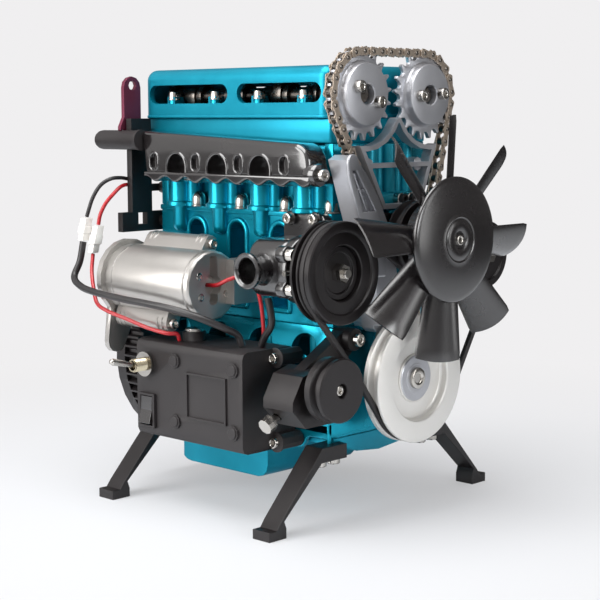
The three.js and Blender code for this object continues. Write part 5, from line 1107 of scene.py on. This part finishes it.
# %% [markdown]
# The idler is a small grooved wheel on a screw. The wheels behind the fan and on the alternator are
# mostly hidden, so their profiles are short: detail is spent where it is seen. All three are turned in
# the same way as the pulleys before.

# %% Idler, fan and alternator pulleys
ix, iz = IDLER
idler_profile = [
    (0, -67.1), (2.9, -67.1), (3.0, -69.8), (3.3, -70.1), (12.8, -70.1), (13.3, -69.6), *vee(13.3, 11.1, 2.0),
    (13.3, -61.2), (13.0, -60.9), (2.3, -60.9), (2.3, -66.8), (0, -66.8)]
fan_pulley_profile = [
    (0, -81.0), (2.9, -81.0), (2.9, -70), (15.2, -70), (15.6, -69.6), *vee(15.6, 13.1, 1.9), (15.6, -63.4),
    (15.2, -63), (3, -63), (3, -49), (0, -49)]
alternator_profile = [
    (0, -70), (4.6, -70), (4.8, -69), (11.6, -69), (12.0, -70), (14.6, -70), (15, -69.6), *vee(15, 12.3, 2.0),
    (15, -61.4), (14.6, -61), (2.5, -61), (2.5, -47.6), (0, -47.6)]
new_piece("idler_skin", wheel(idler_profile, IDLER, 96), idler_turned, ["idler_pulley"], "idler_wheel", 28)
new_piece("idler_screw", cap_screw((ix, -67.1, iz), FRONT, 2.2, 1.9, 0.52), steel, body="idler_wheel",
          sharp=30)
new_piece("fan_pulley_skin", wheel(fan_pulley_profile, FAN, 64), black_turned, ["fan_pulley"], "fan_rotor",
          28)
new_piece("alternator_pulley_skin", wheel(alternator_profile, ALTERNATOR, 64), black_turned,
          ["alternator_pulley"], "alternator_rotor", 28)
alternator_seat = (ALTERNATOR[0], -70, ALTERNATOR[1])
new_piece("alternator_nut", hex_nut(alternator_seat, FRONT, 7, 2.4), steel, body="alternator_rotor", sharp=30)

# %% [markdown]
# ## Fan
#
# The fan has a shallow dome over a thick hub and eight cambered blades. A blade is a surface of two
# parameters: across the chord, where a parabola gives the camber and a thin lens the thickness, and
# along the radius, where the chord widens towards the tip.


# %% Fan
def fan_blade(angle, radial=16, chordwise=15):
    """One blade: radius along the rows, once round its thin section along the columns.

    The tip row bulges outward in the middle of the chord, by the share of the way along the blade."""
    root, tip, hub = 12.5, 50.6, 13
    radius = np.linspace(root, tip, radial)[:, None]
    share = (radius - hub) / (tip - hub)
    once = np.linspace(0, 2 * np.pi, 2 * chordwise, endpoint=False)[None, :]
    u, side = 0.5 * np.cos(once), np.sin(once)
    chord = 12.8 + 7.2 * share
    corner = np.clip((radius - 49.4) / 1.2, 0, 1)
    u = u * (1 - 0.05 * corner**2)
    lean = np.radians(-38)
    rise = -2.2 * (1 - 4 * u * u) + side * 0.78 * (1 - 0.35 * (2 * u) ** 6) * (1 - 0.4 * corner**2)
    reach = radius + 1.4 * share * (1 - 4 * u * u)
    tangent = u * chord * np.cos(lean) - rise * np.sin(lean)
    axial = u * chord * np.sin(lean) + rise * np.cos(lean)
    x = reach * np.cos(angle) - tangent * np.sin(angle)
    z = reach * np.sin(angle) + tangent * np.cos(angle)
    return grid_shell(np.stack([x, -81.5 + axial, z + FAN[1]], -1), caps=True)


blades = [fan_blade(np.radians(-4 + 45 * k)) for k in range(8)]
dome = [(0, -90.0), (3.5, -90.0), (3.9, -90.5), (4.3, -90.75), (8.1, -90.7), (8.5, -90.4), (8.9, -90.3),
        (9.3, -90.4), (9.6, -90.6)]
dome += [(r, -90.65 + 2.3 * (r / 26) ** 2.6) for r in np.linspace(10, 25.6, 10)]
dome += [(26.1, -88.1), (26.35, -87.7), (26.35, -87.1), (26.0, -86.8), (25.4, -86.6), (25.3, -85.9),
         (25.1, -85.5), (24.4, -85.3), (16.4, -84.9), (15.3, -84.2), (15, -83), (15, -73.3), (14.7, -73),
         (3.3, -73), (3.3, -81.5), (0, -81.5)]
new_piece("fan_skin", [wheel(dome, FAN, 160), *blades], fan_plastic, ["fan"], "fan_rotor", 40)
new_piece("fan_screw", cap_screw((0, -90.0, FAN[1]), FRONT, 2.2, 0.9, 0.55), steel, body="fan_rotor",
          sharp=30)

# %% [markdown]
# ## Castings
#
# The big blue castings are boxes with rounded edges, cut by windows. The body and the cutters are shells
# like any other, and an exact boolean takes one from the other, so arches and slots stay truly round.
# Rims, bosses and pillars are added on top as their own shells.

# %% Outlines for the castings
cylinders = -30.7 + 26.8 * np.arange(4)


def arch(u, half, v0, v1, count=16):
    """An opening with a round top: straight sides from v0, then half a circle up to v1."""
    return np.vstack([[(u - half, v0), (u + half, v0)], arc(u, v1 - half, half, 0, 180, count)])


def even(outline, spacing=0.8):
    """The same closed outline with points at even distances, so that beads on it bend smoothly."""
    closed = np.vstack([outline, outline[:1]])
    run = np.concatenate([[0], np.cumsum(np.linalg.norm(np.diff(closed, axis=0), axis=1))])
    at = np.linspace(0, run[-1], max(12, int(run[-1] / spacing)), endpoint=False)
    return np.stack([np.interp(at, run, closed[:, k]) for k in (0, 1)], -1)


def rim(outline, face, radius, wide=1.0, spacing=0.8):
    """A bead round an outline on an upright face at X: a closed tube, widened along the face."""
    outline = even(outline, spacing)
    way = np.roll(outline, -1, 0) - np.roll(outline, 1, 0)
    way /= np.linalg.norm(way, axis=1)[:, None]
    normal = np.stack([way[:, 1], -way[:, 0]], -1)
    angle = np.linspace(0, 2 * np.pi, 10, endpoint=False)
    flat = outline[:, None] + radius * wide * np.cos(angle)[None, :, None] * normal[:, None]
    deep = np.broadcast_to(face + radius * np.sin(angle)[None, :], flat.shape[:2])
    return grid_shell(np.concatenate([deep[..., None], flat], -1), wrap_rows=True)


def cutter(outline, near, far):
    """A sharp-edged plate across X, to cut with."""
    return plate(outline, near, far, "x", 0.0, steps=1)


def block_of(x0, x1, y0, y1, z0, z1):
    """A plain box as a shell: a cutter whose outline is a rectangle."""
    return cutter([(y0, z0), (y1, z0), (y1, z1), (y0, z1)], x0, x1)


print("cylinders at", cylinders.round(1))

# %% [markdown]
# The valve cover is a hollow lid with two long slots in each side, through which the cams' screws and
# pillars show. It could be one plate with a bevel, but its top edge is rounded far more than its foot, so
# the plate is drawn with an edge of its own above and below, and its room and slots are cut out.

# %% Valve cover
cover_plan = rounded_box(-33, 33, -46, 72.5, 5.2, 10)
cover_room = plate(rounded_box(-30.4, 30.4, -43.4, 69.9, 3, 6), 165, 192.7, "z", 2.6, steps=4, low_edge=0.0)
cover_slots = [cutter(rounded_box(y0, y1, 179.7, 188.2, 4.2, 9), side * 25, side * 38)
               for side in SIDES for y0, y1 in ((-42, 9), (15, 68))]
cam_eyes = [wheel(bar(4.1, -50, -40), (side * CAM_X, CAM_Z), 40) for side in SIDES]
carved("valve_cover_skin", plate(cover_plan, 173, 195.3, "z", 5, steps=8, low_edge=0.3),
       [cover_room, *cover_slots, *cam_eyes], blue_satin, ["valve_cover"], 0.55, 3)
lip = plate(offset(cover_plan, 0.45), 173.1, 174.5, "z", 0.5, [offset(cover_plan, -2)])
new_piece("valve_cover_lip", lip, blue_satin, sharp=32)
# A near-black sheet over the carrier's room under the cover: painted shade for the cover's dark inside.
cover_painted_shade = plate(rounded_box(-30.5, 30.5, -43.5, 70, 3, 6), 172.9, 173.3, "z", 0.1)
new_piece("cover_painted_shade", cover_painted_shade, painted_shade_finish, sharp=32)

# %% [markdown]
# Inside the slots stand short pillars with knurled cap screws on washers, and dark rings carry the
# shafts. They are small but lit, and give the cover its depth. Each is a turned profile, and all of one
# kind are joined to one piece, which is simpler to place than copies of an object.

# %% Pillars and screws under the valve cover
pillars, pillar_screws, collars = [], [], []
for side in SIDES:
    for y in (56.3, 27.8, -0.1, -27.8):
        pillars.append(pillar([(2.6, 173), (2.6, 181.2), (2.4, 181.5), (0, 181.5)], side * 28, y, 20))
        pillar_screws += [cap_screw((side * 28, y, 182.1), UP, 2.5, 3.1, knurl=0.02),
                          pillar(bar(2.95, 181.5, 182.1), side * 28, y, 24)]
    for y in (-30.9, -13.5, 14.2, 42, 62):
        collar = [(3.85, y - 1.6), (5.3, y - 1.4), (5.5, y), (5.3, y + 1.4), (3.85, y + 1.6), (3.85, y - 1.6)]
        collars.append(wheel(collar, (side * CAM_X, CAM_Z), 32))
new_piece("cover_pillars", pillars, blue_bright, sharp=40)
new_piece("cover_screws", pillar_screws, steel)
new_piece("cam_bearing_rings", collars, dark_steel)

# %% [markdown]
# The cam carrier is the shallow tray below the cover. Saddles rise from it, bored for the camshafts.
# Tray and saddles could be cut as one, but booleans are safest on a few simple solids, so each kind of
# part is carved on its own.

# %% Cam carrier
tray = plate(rounded_box(-31, 31, -46, 72.5, 1.6, 4), 162.5, 173, "z", 0.5)
tray_room = plate(rounded_box(-27.4, 27.4, -42.4, 68.9, 1, 3), 170.4, 180, "z", 0.0)
carved("cam_carrier_skin", tray, [tray_room], blue_satin, ["cam_carrier"])
towers = [block_of(side * 14.4, side * 30.1, y - 2.5, y + 2.5, 162.8, CAM_Z)
          for side in SIDES for y in (-27.8, 0.2, 28.2, 56.2)]
saddle_bores = [wheel(bar(3.9, -40, 70), (side * CAM_X, CAM_Z), 32) for side in SIDES]
carved("cam_saddles", towers, saddle_bores, blue_satin)

# %% [markdown]
# The cylinder block has three arched windows in each side, between four bores. A bead frames each window,
# thin rods stand inside it, and a drop-shaped boss hangs under the deck at each cylinder. The beads could
# be left by a second, wider cut, but a tube along the window's own outline stays even round the arch.

# %% Cylinder block
block_windows = [y - 10.9 for y in cylinders[1:]]
window_shapes = [arch(y, 5, 90, 127) for y in block_windows]
bores = [pillar(bar(8.5, 80, 132.9), 0, y, 32) for y in cylinders]
carved("cylinder_block_skin", plate(rounded_box(-46, 64, 84, 133, 0.8, 3), -30, 30, "x", 0.5),
       [*[cutter(shape, side * 12, side * 40) for shape in window_shapes for side in SIDES], *bores],
       blue_bright, ["cylinder_block"], 0.25)
block_boss = [(0, 120.6), (1.6, 120.8), (3, 121.5), (3.9, 122.8), (4.2, 124.4), (4.2, 131.5), (4.6, 132.2),
              (4.6, 133), (0, 133)]
dressings = [rim(offset(shape, 0.9), side * 30.2, 1.05, 1.15) for shape in window_shapes for side in SIDES]
for side in SIDES:
    dressings += [pillar(block_boss, side * 30, y, 36) for y in cylinders]
    dressings += [pillar(bar(1.9, 90, 126), side * reach, y + shift, 20)
                  for y in block_windows for shift, reach in ((-3.4, 14.5), (0.6, 13), (4.2, 15))]
    dressings.append(plate(rounded_box(-46, 64, 130.6, 133, 0.6, 3), side * 30, side * 30.9, "x", 0.35))
new_piece("block_dressings", dressings, blue_bright, sharp=45)

# %% [markdown]
# The cylinder head stands between two end plates. Under each exhaust port are a wide and a narrow column
# with a foot, and bright dome nuts hold the head down between them. Its faces are set back a little from
# the end plates' faces, because two surfaces in one place render black.

# %% Cylinder head
head_parts = [plate(rounded_box(-26, 26, -45.4, 63.4, 1, 3), 133.1, 162.4, "z", 0.4)]
head_parts += [plate(rounded_box(-30, 30, y0, y1, 0.8, 3), 133, 162.5, "z", 0.4)
               for y0, y1 in ((-46, -41), (59, 64))]
wide_column = [(0, 133), (6.6, 133), (6.6, 134.4), (6.2, 135), (5.5, 135.2), (5.3, 135.8), (5.3, 147.5),
               (0, 147.5)]
thin_column = [(0, 133), (3.8, 133), (3.8, 134.6), (3.2, 135.2), (3.2, 147.5), (0, 147.5)]
for y in cylinders:
    head_parts += [pillar(wide_column, -30.5, y, 44), pillar(thin_column, -29.2, y - 7.6, 28),
                   plate(rounded_box(y - 3.2, y + 3.2, 133, 147.4, 1, 3), -30.5, -24, "x", 0.3),
                   plate(rounded_box(y - 9.4, y - 5.8, 133, 147.4, 0.8, 3), -29.2, -24, "x", 0.3)]
head_parts += [plate(arch(y, 4.2, 149, 160.5, 10), -28.2, -24, "x", 0.9, steps=3) for y in block_windows]
new_piece("cylinder_head_skin", head_parts, blue_bright, ["cylinder_head"], sharp=40)
dome_nut = [(0, 133), (3.7, 133), (3.7, 133.8), (3.4, 134), (3.4, 135.6), (3.2, 137.2), (2.6, 138.6),
            (1.6, 139.6), (0, 140)]
nuts = [pillar(dome_nut, x, y, 28) for x, y in ((-29.4, 38.5), (-29.4, 9.9), (-29.4, -18.3), (-27.4, -42.9))]
new_piece("head_nuts", nuts, steel, sharp=40)

# %% [markdown]
# The crankcase widens below the block and is open through four round-topped windows. Its skirts end in a
# wavy lower edge, a steep wave made from a cosine inside a hyperbolic tangent, and make room for the legs.

# %% Crankcase
case_outline = [(-30, 36), (30, 36), (33, 38.6), (33, 70), (30, 84), (-30, 84), (-33, 70), (-33, 38.6)]
case_cuts = [block_of(-27.4, 27.4, y - 10.9, y + 10.9, 30, 78) for y in cylinders]
case_cuts += [cutter(rounded_box(y - 7.5, y + 7.5, 50, 80.7, 7.2, 10), -38, 38) for y in cylinders]
case_cuts += [pillar(bar(8.5, 76, 90), 0, y, 32) for y in cylinders]
case_cuts.append(wheel(bar(4.6, -50, 70), CRANK, 32))
carved("crankcase_skin", plate(case_outline, -46, 64, "y", 0.6), case_cuts, blue_bright, ["crankcase"])
wave_y = np.linspace(64, -46, 111)
wave_z = 33.3 + 2.8 * np.tanh(3.2 * np.cos(2 * np.pi * (wave_y - 16) / 27.5))
skirt = np.vstack([[(-46, 42.5), (64, 42.5)], np.stack([wave_y, wave_z], -1)])
LEG_YS = (-45.1, 56.3)
leg_rooms = [block_of(side * 25.3, side * 37, y - 5.3, y + 5.3, 20, 34.4) for side in SIDES for y in LEG_YS]
skirts = [plate(skirt, side * 30.5, side * 33, "x", 0.6, steps=3) for side in SIDES]
carved("crankcase_skirts", skirts, leg_rooms, blue_bright, edge=0.0)
case_beads = [rim(offset(rounded_box(y - 7.5, y + 7.5, 50, 70, 7.2, 10), 0.8), side * 33, 1.0, 1.2)
              for y in cylinders for side in SIDES]
case_beads += [plate(rounded_box(y - 1.4, y + 1.4, 43, 69, 1.2, 4), side * 33, side * 34, "x", 0.5, steps=3)
               for y in cylinders[:-1] + 13.4 for side in SIDES]
new_piece("crankcase_beads", case_beads, blue_bright, sharp=45)

# %% [markdown]
# The exhaust manifold is enamelled cast iron: a log with deep arched pockets between the ports, a small
# hollow at each port, and a bead round every opening. Its lower edge is a wave, drawn with a cosine, that
# follows the port flanges. The pipe at its end has a plain rounded mouth.

# %% Exhaust manifold
log_side = np.vstack([[(-47, 147.6), (57.8, 147.6), (60.5, 167.4)], arc(-36.8, 153.8, 9, 90, 180, 12)])
pocket_middles = [y - 13.4 for y in cylinders[1:]]
hollows = [rounded_box(y - 2.5, y + 2.5, 149.6, 157.2, 2.4, 6) for y in (-31.8, -4.1, 23.5, 51.7)]
carved("manifold_skin", plate(log_side, -45, -32, "x", 2.2, steps=5),
       [*[cutter(arch(y, 6.3, 140, 157.6), -50, -38.2) for y in pocket_middles],
        *[cutter(shape, -50, -43.6) for shape in hollows]], black_gloss, ["exhaust_manifold"], 0.7, 3)
beads = []
for u in pocket_middles:
    row = np.vstack([[(u + 6.5, 148.6)], arc(u, 151.3, 6.5, 0, 180, 18), [(u - 6.5, 148.6)]])
    beads.append(swept(np.column_stack([np.full(len(row), -44.9), row]), 0.75, 10))
beads += [rim(offset(shape, 0.4), -44.8, 0.6, 1.1, 0.5) for shape in hollows]
flange_y = np.linspace(57.6, -47.6, 120)
flange_z = 145.7 - 1.2 * np.cos(2 * np.pi * (flange_y - cylinders[0]) / 13.4)
flange = np.vstack([[(-47.6, 149), (57.6, 149)], np.stack([flange_y, flange_z], -1)])
plug = [(0, -43.5), (4.6, -43.5), (4.9, -44.2), (4.9, -48.8), (4.5, -49.5), (0, -49.5)]
beads += [plate(flange, -46.3, -31, "x", 0.9, steps=3), wheel(plug, (-41.2, 149.6), 32)]
new_piece("manifold_beads", beads, black_gloss, sharp=45)
new_piece("manifold_screw", cap_screw((-41.2, -49.5, 149.6), FRONT, 2.7, 2.8, 0.52), steel)
pipe = [(0, 59.8), (4.8, 59.8), (4.8, 62), (4.5, 62.4), (4.5, 87.4), (4.25, 89), (3.7, 90.1), (3.3, 90.5),
        (3.0, 90.3), (2.9, 86), (0, 86)]
new_piece("exhaust_pipe_skin", wheel(pipe, (-45, 163.1), 40), black_plastic, ["exhaust_pipe"], sharp=40)

# %% [markdown]
# ## Small forms and fasteners
#
# What makes the model read as real machinery is the small work. Behind the chain, the front face carries
# a row of upright round ribs, a rounded bar and screw bosses.

# %% Front face behind the chain
face_parts = [turned(bar(r, 141, 161.8), (x, -46.2, 0), UP, 28) for x, r in (
    (-18, 2.6), (-12.4, 1.7), (-6.8, 3.2), (-1.2, 1.8), (5, 3.2), (10.8, 1.9), (16.6, 2.9))]
face_parts.append(plate(rounded_box(-22, 22, 133.6, 141.2, 2, 6), -49.6, -45.5, "y", 1.8, steps=4))
for x, z, r in ((-18, 128.5, 3.4), (5.6, 129.6, 3.4), (18, 128, 3.4), (-12, 86.4, 4.4), (24, 92, 4.4),
                (-24, 100, 3.6)):
    boss = [(0, -45.5), (r, -45.5), (r, -48.6), (r - 0.4, -49), (0, -49)]
    face_parts.append(wheel(boss, (x, z), 32))
# The front face's forms take the paler blue: painted light, because they stand in shade behind the chain.
new_piece("front_face_forms", face_parts, blue_painted_light, sharp=40)
bright_seats = [(-12, -49, 86.4), (24, -49, 92), (-24, -49, 100), (18, -49, 128)]
black_seats = [(6.9, -52.9, 138), (13.7, -52.9, 138), (5.6, -49, 129.6), (-18, -49, 128.5)]
standoff = [(0, -49), (2.6, -49), (2.6, -52.6), (2.3, -52.9), (0, -52.9)]
new_piece("front_face_screws", [cap_screw(seat, FRONT, 2.5, 2.6) for seat in bright_seats], steel)
new_piece("front_standoffs", [wheel(standoff, (x, 138), 28) for x in (6.9, 13.7)], steel)
new_piece("front_black_screws", [cap_screw(seat, FRONT, 2.2, 2.2) for seat in black_seats], black_metal)

# %% [markdown]
# The chain tensioner's front is a curved silver leaf with a narrow slanted opening, crossed by thin ribs.
# Its outline was measured as two rows of points, joined by an arc at the top. Straight lines between
# them would leave corners on the rounded edge, so the outline is walked in short, even steps.

# %% Tensioner face
tension_pocket = [(-36.1, 151.6), (-30.0, 134.4), (-21.8, 134.4), (-34.0, 151.6)]
tension_plan = np.vstack([
    [(-21.9, 106.4), (-27.5, 121), (-33.8, 135.6), (-36.5, 142.6), (-38.6, 149), (-39.2, 155)],
    arc(-35.9, 155.2, 3.3, 176, 4, 14),
    [(-32.6, 155.4), (-29.3, 148.5), (-24.9, 141.3), (-20.3, 132.8), (-17.6, 125), (-15.6, 115),
     (-15.2, 106.4)]])
leaf = plate(even(tension_plan, 1.2), -63.1, -61.4, "y", 0.55, [tension_pocket], steps=3)
new_piece("tensioner_face", leaf, silver, sharp=45)
ribs = [swept([(x0, -61.6, z0), (x1, -61.6, z1)], radius, 8) for x0, z0, x1, z1, radius in (
    (-34.6, 150.6, -26.6, 135.0, 0.55), (-35.6, 149, -29.2, 135.0, 0.4), (-33.2, 143.4, -27.6, 143.4, 0.5))]
new_piece("tensioner_ribs", ribs, silver, sharp=45)

# %% [markdown]
# The water pump is a black casting: a rounded body, a flange with four ears for its screws, and a flared
# inlet to the side. Seen from its axis, an eared flange is the farthest point of a disc and four circles
# at every angle, so it can be drawn as one outline.


# %% Pump
def lobed(radius, reach, lobe, angles, count=160):
    """A round plate with ears: at each angle the farthest of the disc and the ears' circles."""
    angle = np.linspace(0, 2 * np.pi, count, endpoint=False)[:, None]
    from_ear = angle - np.radians(angles)[None, :]
    under = np.maximum(lobe**2 - (reach * np.sin(from_ear)) ** 2, 0)
    ear = np.where((under > 0) & (np.cos(from_ear) > 0), reach * np.cos(from_ear) + np.sqrt(under), 0)
    far = np.maximum(ear.max(axis=1), radius)
    return np.stack([px + far * np.cos(angle[:, 0]), pz + far * np.sin(angle[:, 0])], -1)


PUMP_EARS = [30, 150, 210, 330]
pump_neck = [(0, -49), (9.2, -49), (9.2, -57.6), (8.4, -58.6), (3, -58.8), (0, -58.8)]
inlet = [(6.2, -4), (6.3, 3), (6.5, 4.8), (7.3, 5.6), (7.6, 6.6), (7.5, 7.6), (6.9, 8.1), (6.1, 8.0),
         (5.4, 7.4), (5.2, 6.6), (5.2, -3), (0, -3)]
inlet_root = [(8.4, -4), (7.2, -1.6), (6.5, 0.4), (6.2, 2.4), (6.0, -4)]
new_piece("pump_housing_skin", [
    plate(rounded_box(-60.5, -30.2, 99, 123.4, 7, 8), -47.5, -24.5, "y", 4, steps=5),
    plate(lobed(14.6, 14.4, 3.6, PUMP_EARS), -51.3, -46.2, "y", 0.9, steps=4),
    plate(lobed(12.4, 13.6, 2.6, PUMP_EARS), -53.6, -50.5, "y", 0.6, steps=3),
    wheel(pump_neck, PUMP, 64),
    plate(rounded_box(-46, -22, 119.5, 132.8, 2.4, 6), -35.4, -30.2, "x", 0.7),
    turned(inlet, (-61.9, -34, pz), LEFT, 64),
    turned(inlet_root, (-61.0, -34, pz), LEFT, 64)], black_cast, ["pump_housing"], sharp=40)
plate_seats = [(-35.4, -27.2, 130.7), (-35.4, -41.8, 130.9)]
pump_heads = [cap_screw((px + 14.4 * np.cos(a), -51.3, pz + 14.4 * np.sin(a)), FRONT, 2.75, 3.4, spin=a)
              for a in np.radians(PUMP_EARS)]
pump_heads += [cap_screw((x - 1.6, y, z), LEFT, 2.3, 2.2) for x, y, z in plate_seats]
plate_boss = [(0, 0), (3.1, 0), (3.1, 1.3), (2.8, 1.6), (0, 1.6)]
new_piece("pump_screws", pump_heads, steel)
new_piece("pump_plate_bosses", [turned(plate_boss, seat, LEFT, 32) for seat in plate_seats], black_cast)
new_piece("pump_rod", turned(bar(1.1, -2, 3.5), (px - 13.2, -52.4, pz), LEFT, 20), steel)

# %% [markdown]
# The starter motor's shell is drawn sheet metal, so rolled seams run round it and round its two small
# cylinders. Cap screws close the cylinders and countersunk screws the front face. The seams could be a
# bump in the material, but they show in the outline too, so each is a low turned bead.


# %% Motor seams and screws
def seam(radius, y, height, place, count):
    """A low bead round a cylinder at Y: four rows out to the height and back."""
    rows = [(radius, y - 0.5), (radius + height, y - 0.3), (radius + height, y + 0.3), (radius, y + 0.5)]
    return wheel(rows, place, count)


seams = [seam(15.1, y, 0.35, (-55.5, 101), 96) for y in (4.4, 52.6)]
for place, y0, y1 in (((-45.5, 118), 13, 53), ((-62, 83.2), 21, 56)):
    seams += [seam(3.6, y, 0.5, place, 40) for y in (y0 + 3, y0 + 6, y1 - 6, y1 - 3)]
new_piece("motor_seams", seams, motor_shell, sharp=40)
motor_heads = [cap_screw(seat, FRONT, 2.3, 2.2) for seat in ((-45.5, 13, 118), (-62, 21, 83.2))]
motor_heads += [countersunk((x, 1, z), FRONT, 1.7) for x, z in ((-63.6, 105.6), (-62.6, 96.4), (-48, 97))]
new_piece("motor_screws", motor_heads, steel)

# %% [markdown]
# The battery box hangs from two lugs with screws in raised rings. Its toggle switch has a threaded
# bushing under a six-sided nut with a thin washer. A true thread is a helix, but at this pitch nobody can
# tell it from a stack of rings, so the thread is a zigzag of rows in the bushing's profile.

# %% Battery box and toggle switch
LUG_HEIGHTS, TOGGLE = (71.5, 34.8), (-65, 34.5, 64.3)
new_piece("box_screws", [cap_screw((-47, -28.2, z), LEFT, 2.4, 2.4) for z in LUG_HEIGHTS], steel)
lug_ring = [(3.6, 0), (4.4, 0.1), (4.4, 0.9), (3.6, 1.0)]
new_piece("box_lug_rings", [turned(lug_ring, (-46, -28.2, z), LEFT, 36) for z in LUG_HEIGHTS], black_plastic)
thread = [(2.7 + 0.3 * (k % 2), -67.2 - 0.32 * k) for k in range(21)]
bushing = [(0, -65), (3, -65), (3, -67.1), *thread, (2.75, -74), (2.2, -74), (2.2, -68), (0, -68)]
new_piece("toggle_bushing_skin", turned([(r, -a - 65) for r, a in bushing], TOGGLE, LEFT, 40), brass_tint,
          ["toggle_bushing"], sharp=25)
washer = turned([(3, 2.1), (5.6, 2.1), (5.6, 2.5), (3, 2.5)], TOGGLE, LEFT, 40)
new_piece("toggle_nut", [hex_nut(TOGGLE, LEFT, 8, 2.1, 0.2), washer], steel, sharp=30)

# %% [markdown]
# Cap screws from below hold the legs, and a large one with a boss holds the idler's arm. They come from
# the same maker as all the others. Only their seats, axes and sizes differ, so lists are enough.

# %% Screws of the legs and the idler's arm
arm_boss = [(0, -45.8), (4.8, -45.8), (4.8, -56), (4.4, -56.4), (0, -56.4)]
new_piece("idler_arm_boss", wheel(arm_boss, (-27, 80), 40), black_metal)
leg_heads = [cap_screw((side * x, y, 28.2), DOWN, 3.0, 2.8)
             for side in SIDES for x in (29, 37.5) for y in LEG_YS]
new_piece("leg_screws", leg_heads, steel)
new_piece("idler_arm_screw", cap_screw((-27, -56.4, 80), FRONT, 2.8, 3), steel)

# %% [markdown]
# Round columns stand behind the crankcase windows, and the battery box's bosses have a second step. Both
# could be part of the castings. As shells of their own they need no cut and no bevel.

# %% Columns in the crankcase and steps on the box
columns = [pillar(bar(2.6, 63, 91), side * 24.5, y, 28) for side in SIDES for y in cylinders]
# The columns take the paler blue: painted light, because they stand in shade inside the crankcase.
new_piece("crankcase_pillars", columns, blue_painted_light, sharp=40)
step = [(0, -0.2), (2.5, -0.2), (2.5, 1.3), (2.2, 1.55), (0, 1.55)]
steps = [turned(step, (-65, y, z), LEFT, 28) for y in (-21, 16) for z in (40.5, 67.5)]
new_piece("box_boss_steps", steps, black_plastic)

# %% [markdown]
# ## Castings kept from the CAD model
#
# These pieces are right as they are. They could be rebuilt, but a finish and a small bevel, which gives
# each edge its thin highlight, are all that they lack. The number is the bevel's width in millimetres.

# %% Dressed pieces
for nodes, finish, edge in [
    ("oil_pan", blue_satin, 0.6), ("lifting_bracket", maroon, 0.2), ("rear_bracket", black_metal, 0.2),
    ("intake_manifold", black_metal, 0.4), ("leg_front_left leg_front_right", black_metal, 0.25),
    ("leg_rear_left leg_rear_right", black_metal, 0.25), ("motor_housing", motor_shell, 0.3),
    ("flywheel", black_metal, 0.15), ("reduction_gear motor_pinion", dark_steel, 0.1),
    ("battery_box", black_plastic, 0.4), ("toggle_lever", steel, 0.0), ("rocker_frame", black_plastic, 0.15),
    ("rocker_switch", black_gloss, 0.15), ("push_button tension_screw", steel, 0.1),
    ("idler_bracket fan_bracket alternator", black_metal, 0.3), ("crankshaft", dark_steel, 0.2),
    ("chain_guide", silver, 0.15), ("chain_tensioner", silver, 1.0),
]:
    for node in nodes.split():
        dressed(node, finish, edge)
for i in range(1, 5):
    dressed(f"piston_{i}", silver, 0.2)
    dressed(f"rod_{i}", dark_steel, 0.2)
